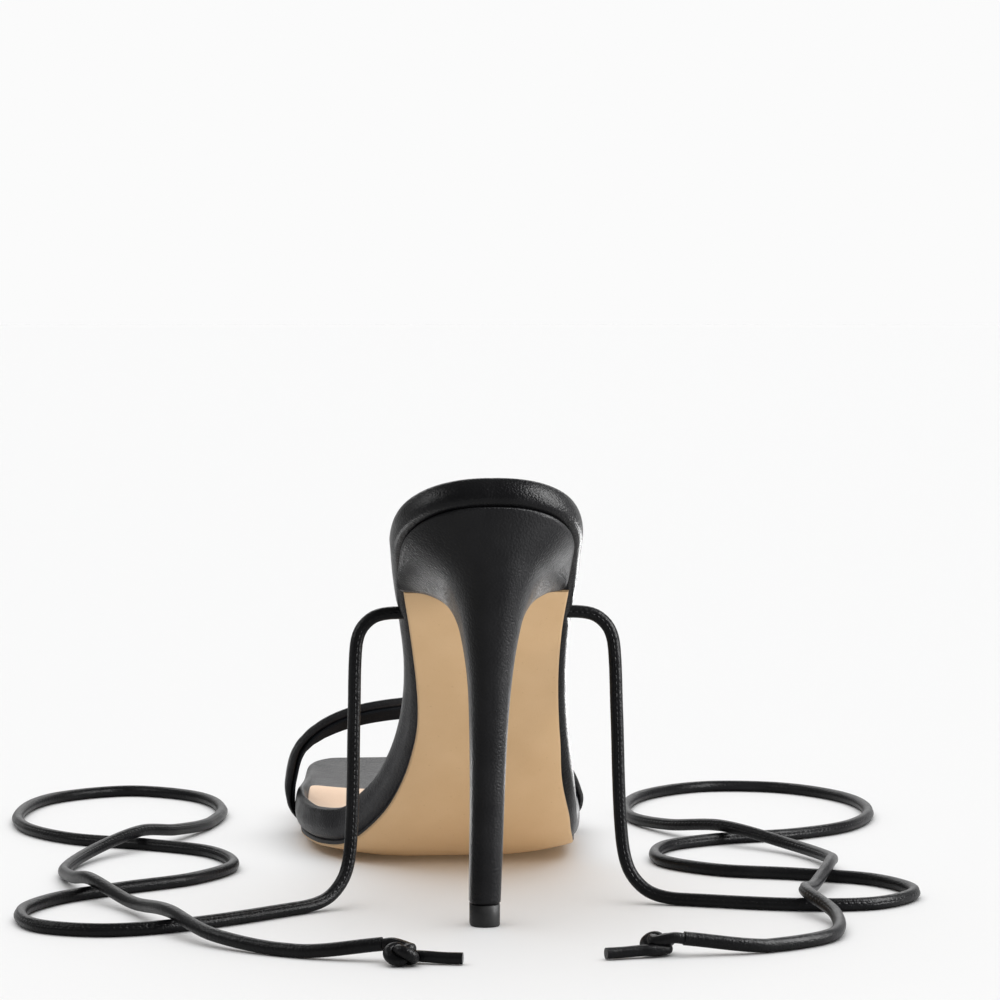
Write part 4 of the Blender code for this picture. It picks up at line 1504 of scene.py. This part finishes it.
FLOOR_LINE = 0.00175
OVER_LINE = 0.00545
MEDIAL_ROUTE: tuple[Place, ...] = (
    (-0.0124, -0.0574, 0.0761), (-0.0196, -0.0574, 0.0761), (-0.0238, -0.0575, 0.0750),
    (-0.0270, -0.0579, 0.0718), (-0.0283, -0.0586, 0.0670), (-0.0289, -0.0606, 0.0500),
    (-0.0298, -0.0636, 0.0200), (-0.0314, -0.0658, 0.0092), (-0.0358, -0.0692, 0.0035),
    (-0.0430, -0.0746, FLOOR_LINE), (-0.0700, -0.0950, FLOOR_LINE), (-0.0920, -0.1030, FLOOR_LINE),
    (-0.1100, -0.0950, FLOOR_LINE), (-0.1150, -0.0750, FLOOR_LINE), (-0.1070, -0.0560, FLOOR_LINE),
    (-0.0900, -0.0410, FLOOR_LINE), (-0.0710, -0.0270, FLOOR_LINE), (-0.0600, -0.0060, FLOOR_LINE),
    (-0.0660, 0.0180, FLOOR_LINE), (-0.0840, 0.0330, FLOOR_LINE), (-0.1060, 0.0460, FLOOR_LINE),
    (-0.1200, 0.0680, FLOOR_LINE), (-0.1230, 0.0980, FLOOR_LINE), (-0.1140, 0.1280, FLOOR_LINE),
    (-0.0910, 0.1420, FLOOR_LINE), (-0.0700, 0.1280, FLOOR_LINE), (-0.0620, 0.1010, FLOOR_LINE),
    (-0.0660, 0.0720, FLOOR_LINE), (-0.0760, 0.0490, 0.0034), (-0.0860, 0.0342, OVER_LINE),
    (-0.0990, 0.0150, 0.0030), (-0.1060, -0.0090, FLOOR_LINE), (-0.1030, -0.0320, 0.0034),
    (-0.0980, -0.0476, OVER_LINE), (-0.0870, -0.0700, 0.0030), (-0.0770, -0.0982, OVER_LINE),
    (-0.0660, -0.1190, 0.0030), (-0.0460, -0.1350, FLOOR_LINE), (-0.0260, -0.1420, 0.0044),
)
LATERAL_ROUTE: tuple[Place, ...] = (
    (0.0238, -0.0574, 0.0761), (0.0310, -0.0574, 0.0761), (0.0352, -0.0575, 0.0750),
    (0.0384, -0.0579, 0.0718), (0.0397, -0.0586, 0.0670), (0.0402, -0.0606, 0.0500),
    (0.0410, -0.0636, 0.0200), (0.0428, -0.0654, 0.0092), (0.0476, -0.0676, 0.0035),
    (0.0554, -0.0708, FLOOR_LINE), (0.0850, -0.0815, FLOOR_LINE), (0.1060, -0.0810, FLOOR_LINE),
    (0.1190, -0.0650, FLOOR_LINE), (0.1120, -0.0450, FLOOR_LINE), (0.0930, -0.0340, FLOOR_LINE),
    (0.0720, -0.0250, FLOOR_LINE), (0.0590, -0.0070, FLOOR_LINE), (0.0630, 0.0160, FLOOR_LINE),
    (0.0810, 0.0290, FLOOR_LINE), (0.1040, 0.0360, FLOOR_LINE), (0.1230, 0.0510, FLOOR_LINE),
    (0.1340, 0.0780, FLOOR_LINE), (0.1320, 0.1080, FLOOR_LINE), (0.1160, 0.1310, FLOOR_LINE),
    (0.0920, 0.1360, FLOOR_LINE), (0.0720, 0.1210, FLOOR_LINE), (0.0620, 0.0970, FLOOR_LINE),
    (0.0610, 0.0720, FLOOR_LINE), (0.0690, 0.0490, 0.0030), (0.0820, 0.0293, OVER_LINE),
    (0.0980, 0.0100, 0.0030), (0.1050, -0.0140, 0.0030), (0.1010, -0.0386, OVER_LINE),
    (0.0930, -0.0600, 0.0030), (0.0870, -0.0822, OVER_LINE), (0.0910, -0.1030, 0.0030),
    (0.0860, -0.1250, FLOOR_LINE), (0.0680, -0.1380, FLOOR_LINE), (0.0470, -0.1410, 0.0044),
)
TIES = (
    Tie("medial", MEDIAL_ROUTE, (-0.0171, -0.0574, 0.0761)),
    Tie("lateral", LATERAL_ROUTE, (0.0284, -0.0574, 0.0761)),
)
OUTER_BAND = StrapBand("toe_strap_outer", width=10.0, fullness=1.03, inner=-0.62, outer=1.0)
LINING_BAND = StrapBand("toe_strap_lining", width=9.9, fullness=1.0, inner=-1.06, outer=-0.42)

HEEL, TIP, SOLE = "heel_cover", "heel_tip", "outsole_leather"
FOOTBED, SOCK = "footbed_wrap", "insole_sock_leather"
STRAP = (OUTER_BAND.name,)
BOTH_BANDS = (OUTER_BAND.name, LINING_BAND.name)
CORDS = ("tie_cord_medial", "tie_cord_lateral", "knot_cord_medial", "knot_cord_lateral")
BLACK = (FOOTBED, HEEL, TIP, *BOTH_BANDS, *CORDS)


def aim_light(lamp: Piece, lit: Sequence[Piece], shade: Sequence[Piece]) -> None:
    """Keeps a light to some things.

    Args:
        lamp: the light.
        lit: things that it lights.
        shade: things that shade them.
    """
    receivers = bpy.data.collections.new(lamp.name + "_lights")
    blockers = bpy.data.collections.new(lamp.name + "_shade")
    for group, things in ((receivers, lit), (blockers, shade)):
        for thing in things:
            group.objects.link(thing)
    lamp.light_linking.receiver_collection = receivers
    lamp.light_linking.blocker_collection = blockers


@dataclass(frozen=True)
class SoftBox:
    """Soft light that faces the shoe and lights some of its pieces, shaded by all or by those alone."""

    name: str
    place: Place
    width: float
    height: float
    watts: float
    lights: tuple[str, ...]
    alone: bool = False

    def build(self, target: Vector) -> None:
        """Hangs the light.

        Args:
            target: point that it faces.
        """
        data = bpy.data.lights.new(self.name, "AREA")
        data.shape = "RECTANGLE"
        data.size, data.size_y = self.width, self.height
        data.energy = self.watts
        lamp = bpy.data.objects.new(self.name, data)
        lamp.location = self.place
        lamp.visible_camera = False
        lamp.rotation_euler = (target - lamp.location).to_track_quat("-Z", "Y").to_euler()
        bpy.context.scene.collection.objects.link(lamp)
        lit = [PIECES[name] for name in self.lights]
        aim_light(lamp, lit, lit if self.alone else list(PIECES.values()))


@dataclass
class Studio:
    """Pale floor, soft lights and the camera at the photograph's angle."""

    camera_place: Place = (-0.072464, -0.996044, 0.163558)
    camera_down: float = 3.5166
    camera_turn: float = -5.0
    lens: float = 129.6
    sensor: float = 36.0
    floor_radius: float = 12.0
    floor_sides: int = 96
    white: Colour = (1.0, 1.0, 1.0, 1.0)
    dim_sky: float = 0.3
    back_sky: float = 0.965
    backdrop_turn: float = 12.0
    backdrop: Range = (0.75, 0.95)
    overhead: float = 2.52
    overhead_spread: float = 100.0
    target: Place = (0.0, -0.03, 0.06)
    boxes: ClassVar[tuple[SoftBox, ...]] = (
        SoftBox("right_box", (0.36, -0.16, 0.24), 0.18, 0.4, 5.0, BLACK),
        SoftBox("left_box", (-0.36, -0.07, 0.3), 0.2, 0.2, 0.75, (FOOTBED, *STRAP, *CORDS)),
        SoftBox("back_box", (0.0, 1.1, 0.75), 1.4, 0.5, 6.0, BLACK),
        SoftBox("seam_box", (0.45, -0.5, 0.75), 0.4, 0.4, 16.0, (HEEL,), alone=True),
        SoftBox("right_bounce", (0.088, 0.034, -0.01), 0.09, 0.09, 0.08, (HEEL,)),
        SoftBox("left_bounce", (-0.06, 0.045, -0.01), 0.06, 0.06, 0.075, (HEEL,)),
        SoftBox("right_floor", (0.13, -0.15, -0.01), 0.14, 0.14, 0.12, (HEEL,)),
        SoftBox("right_side", (0.4, 0.0, 0.08), 0.2, 0.2, 0.35, (HEEL,)),
        SoftBox("rim_right_floor", (0.14, 0.09, -0.01), 0.12, 0.12, 0.5, (FOOTBED,)),
        SoftBox("rim_left_floor", (-0.08, -0.04, -0.01), 0.06, 0.06, 0.16, (FOOTBED,)),
        SoftBox("strap_floor", (-0.18, 0.0, -0.01), 0.12, 0.12, 0.6, STRAP),
        SoftBox("strap_fill", (0.0, -0.3, 0.6), 0.3, 0.3, 0.5, STRAP),
        SoftBox("strap_right", (0.23, -0.17, -0.03), 0.2, 0.2, 2.2, BOTH_BANDS),
        SoftBox("sole_fill", (0.35, -0.33, -0.1), 0.3, 0.3, 1.35, (SOLE,)),
        SoftBox("sock_fill", (-0.5, 0.6, 0.7), 0.4, 0.4, 3.5, (SOCK,)),
    )

    def build(self) -> None:
        """Sets up the floor, the light and the camera."""
        scene = bpy.context.scene
        scene.view_settings.view_transform = "Standard"
        self.sky()
        for box in self.boxes:
            box.build(Vector(self.target))
        data = bpy.data.lights.new("overhead", "SUN")
        data.energy = self.overhead
        data.angle = math.radians(self.overhead_spread)
        sun = bpy.data.objects.new("overhead", data)
        scene.collection.objects.link(sun)
        aim_light(sun, [self.floor(), PIECES[SOCK]], list(PIECES.values()))
        data = bpy.data.cameras.new("camera")
        data.lens, data.sensor_width = self.lens, self.sensor
        camera = bpy.data.objects.new("camera", data)
        camera.location = self.camera_place
        camera.rotation_euler = (math.radians(90.0 - self.camera_down), 0.0, math.radians(self.camera_turn))
        scene.collection.objects.link(camera)
        scene.camera = camera

    def sky(self) -> None:
        """Lights the room softly, with a white backdrop past the toe and white wherever it is seen."""
        world = bpy.data.worlds.new("studio")
        world.use_nodes = True
        graph = Graph(world.node_tree)
        turn = math.radians(self.backdrop_turn)
        facing = graph.add("VectorMath", {0: graph.places["Generated"],
                                          1: (math.sin(turn), math.cos(turn), 0.0)},
                           "Value", operation="DOT_PRODUCT")
        room = graph.mapped(facing, self.backdrop, (self.dim_sky, self.back_sky),
                            interpolation_type="SMOOTHSTEP")
        seen = graph.math("MULTIPLY", graph.add("LightPath", {}, "Is Camera Ray"), self.back_sky)
        graph.set("Background", {"Color": self.white, "Strength": graph.math("MAXIMUM", room, seen)})
        bpy.context.scene.world = world

    def floor(self) -> Piece:
        """Lays the pale floor.

        Returns:
            The floor.
        """
        mesh = bmesh.new()
        bmesh.ops.create_circle(mesh, cap_ends=True, segments=self.floor_sides, radius=self.floor_radius)
        data = bpy.data.meshes.new("floor")
        mesh.to_mesh(data)
        mesh.free()
        data.materials.append(FloorPaint("pale_floor").material())
        floor = bpy.data.objects.new("floor", data)
        bpy.context.scene.collection.objects.link(floor)
        return floor


def main() -> None:
    """Builds every piece of the sandal in its studio and logs each piece's number of faces."""
    logging.basicConfig(level=logging.INFO, format="%(message)s")
    knotted = KNOT_LEATHER.material()
    for tie in TIES:
        tie.build(CordLeather("tie_leather_" + tie.name, length=tie.length / MM).material(), knotted)
    last = Last()
    leather = BLACK_LEATHER.material()
    Footbed(last).build(leather)
    Sock(last).build(SOCK_LEATHER.material())
    Outsole(last).build(SOLE_LEATHER.material(), EDGE_DYE.material())
    heel = Heel(last)
    heel.cover(HEEL_LEATHER.material())
    heel.tip(TIP_RUBBER.material())
    strap = ToeStrap(last)
    strap.band(OUTER_BAND, leather, "toe_strap")
    strap.band(LINING_BAND, LINING.material())
    Studio().build()


if __name__ == "__main__":
    main()
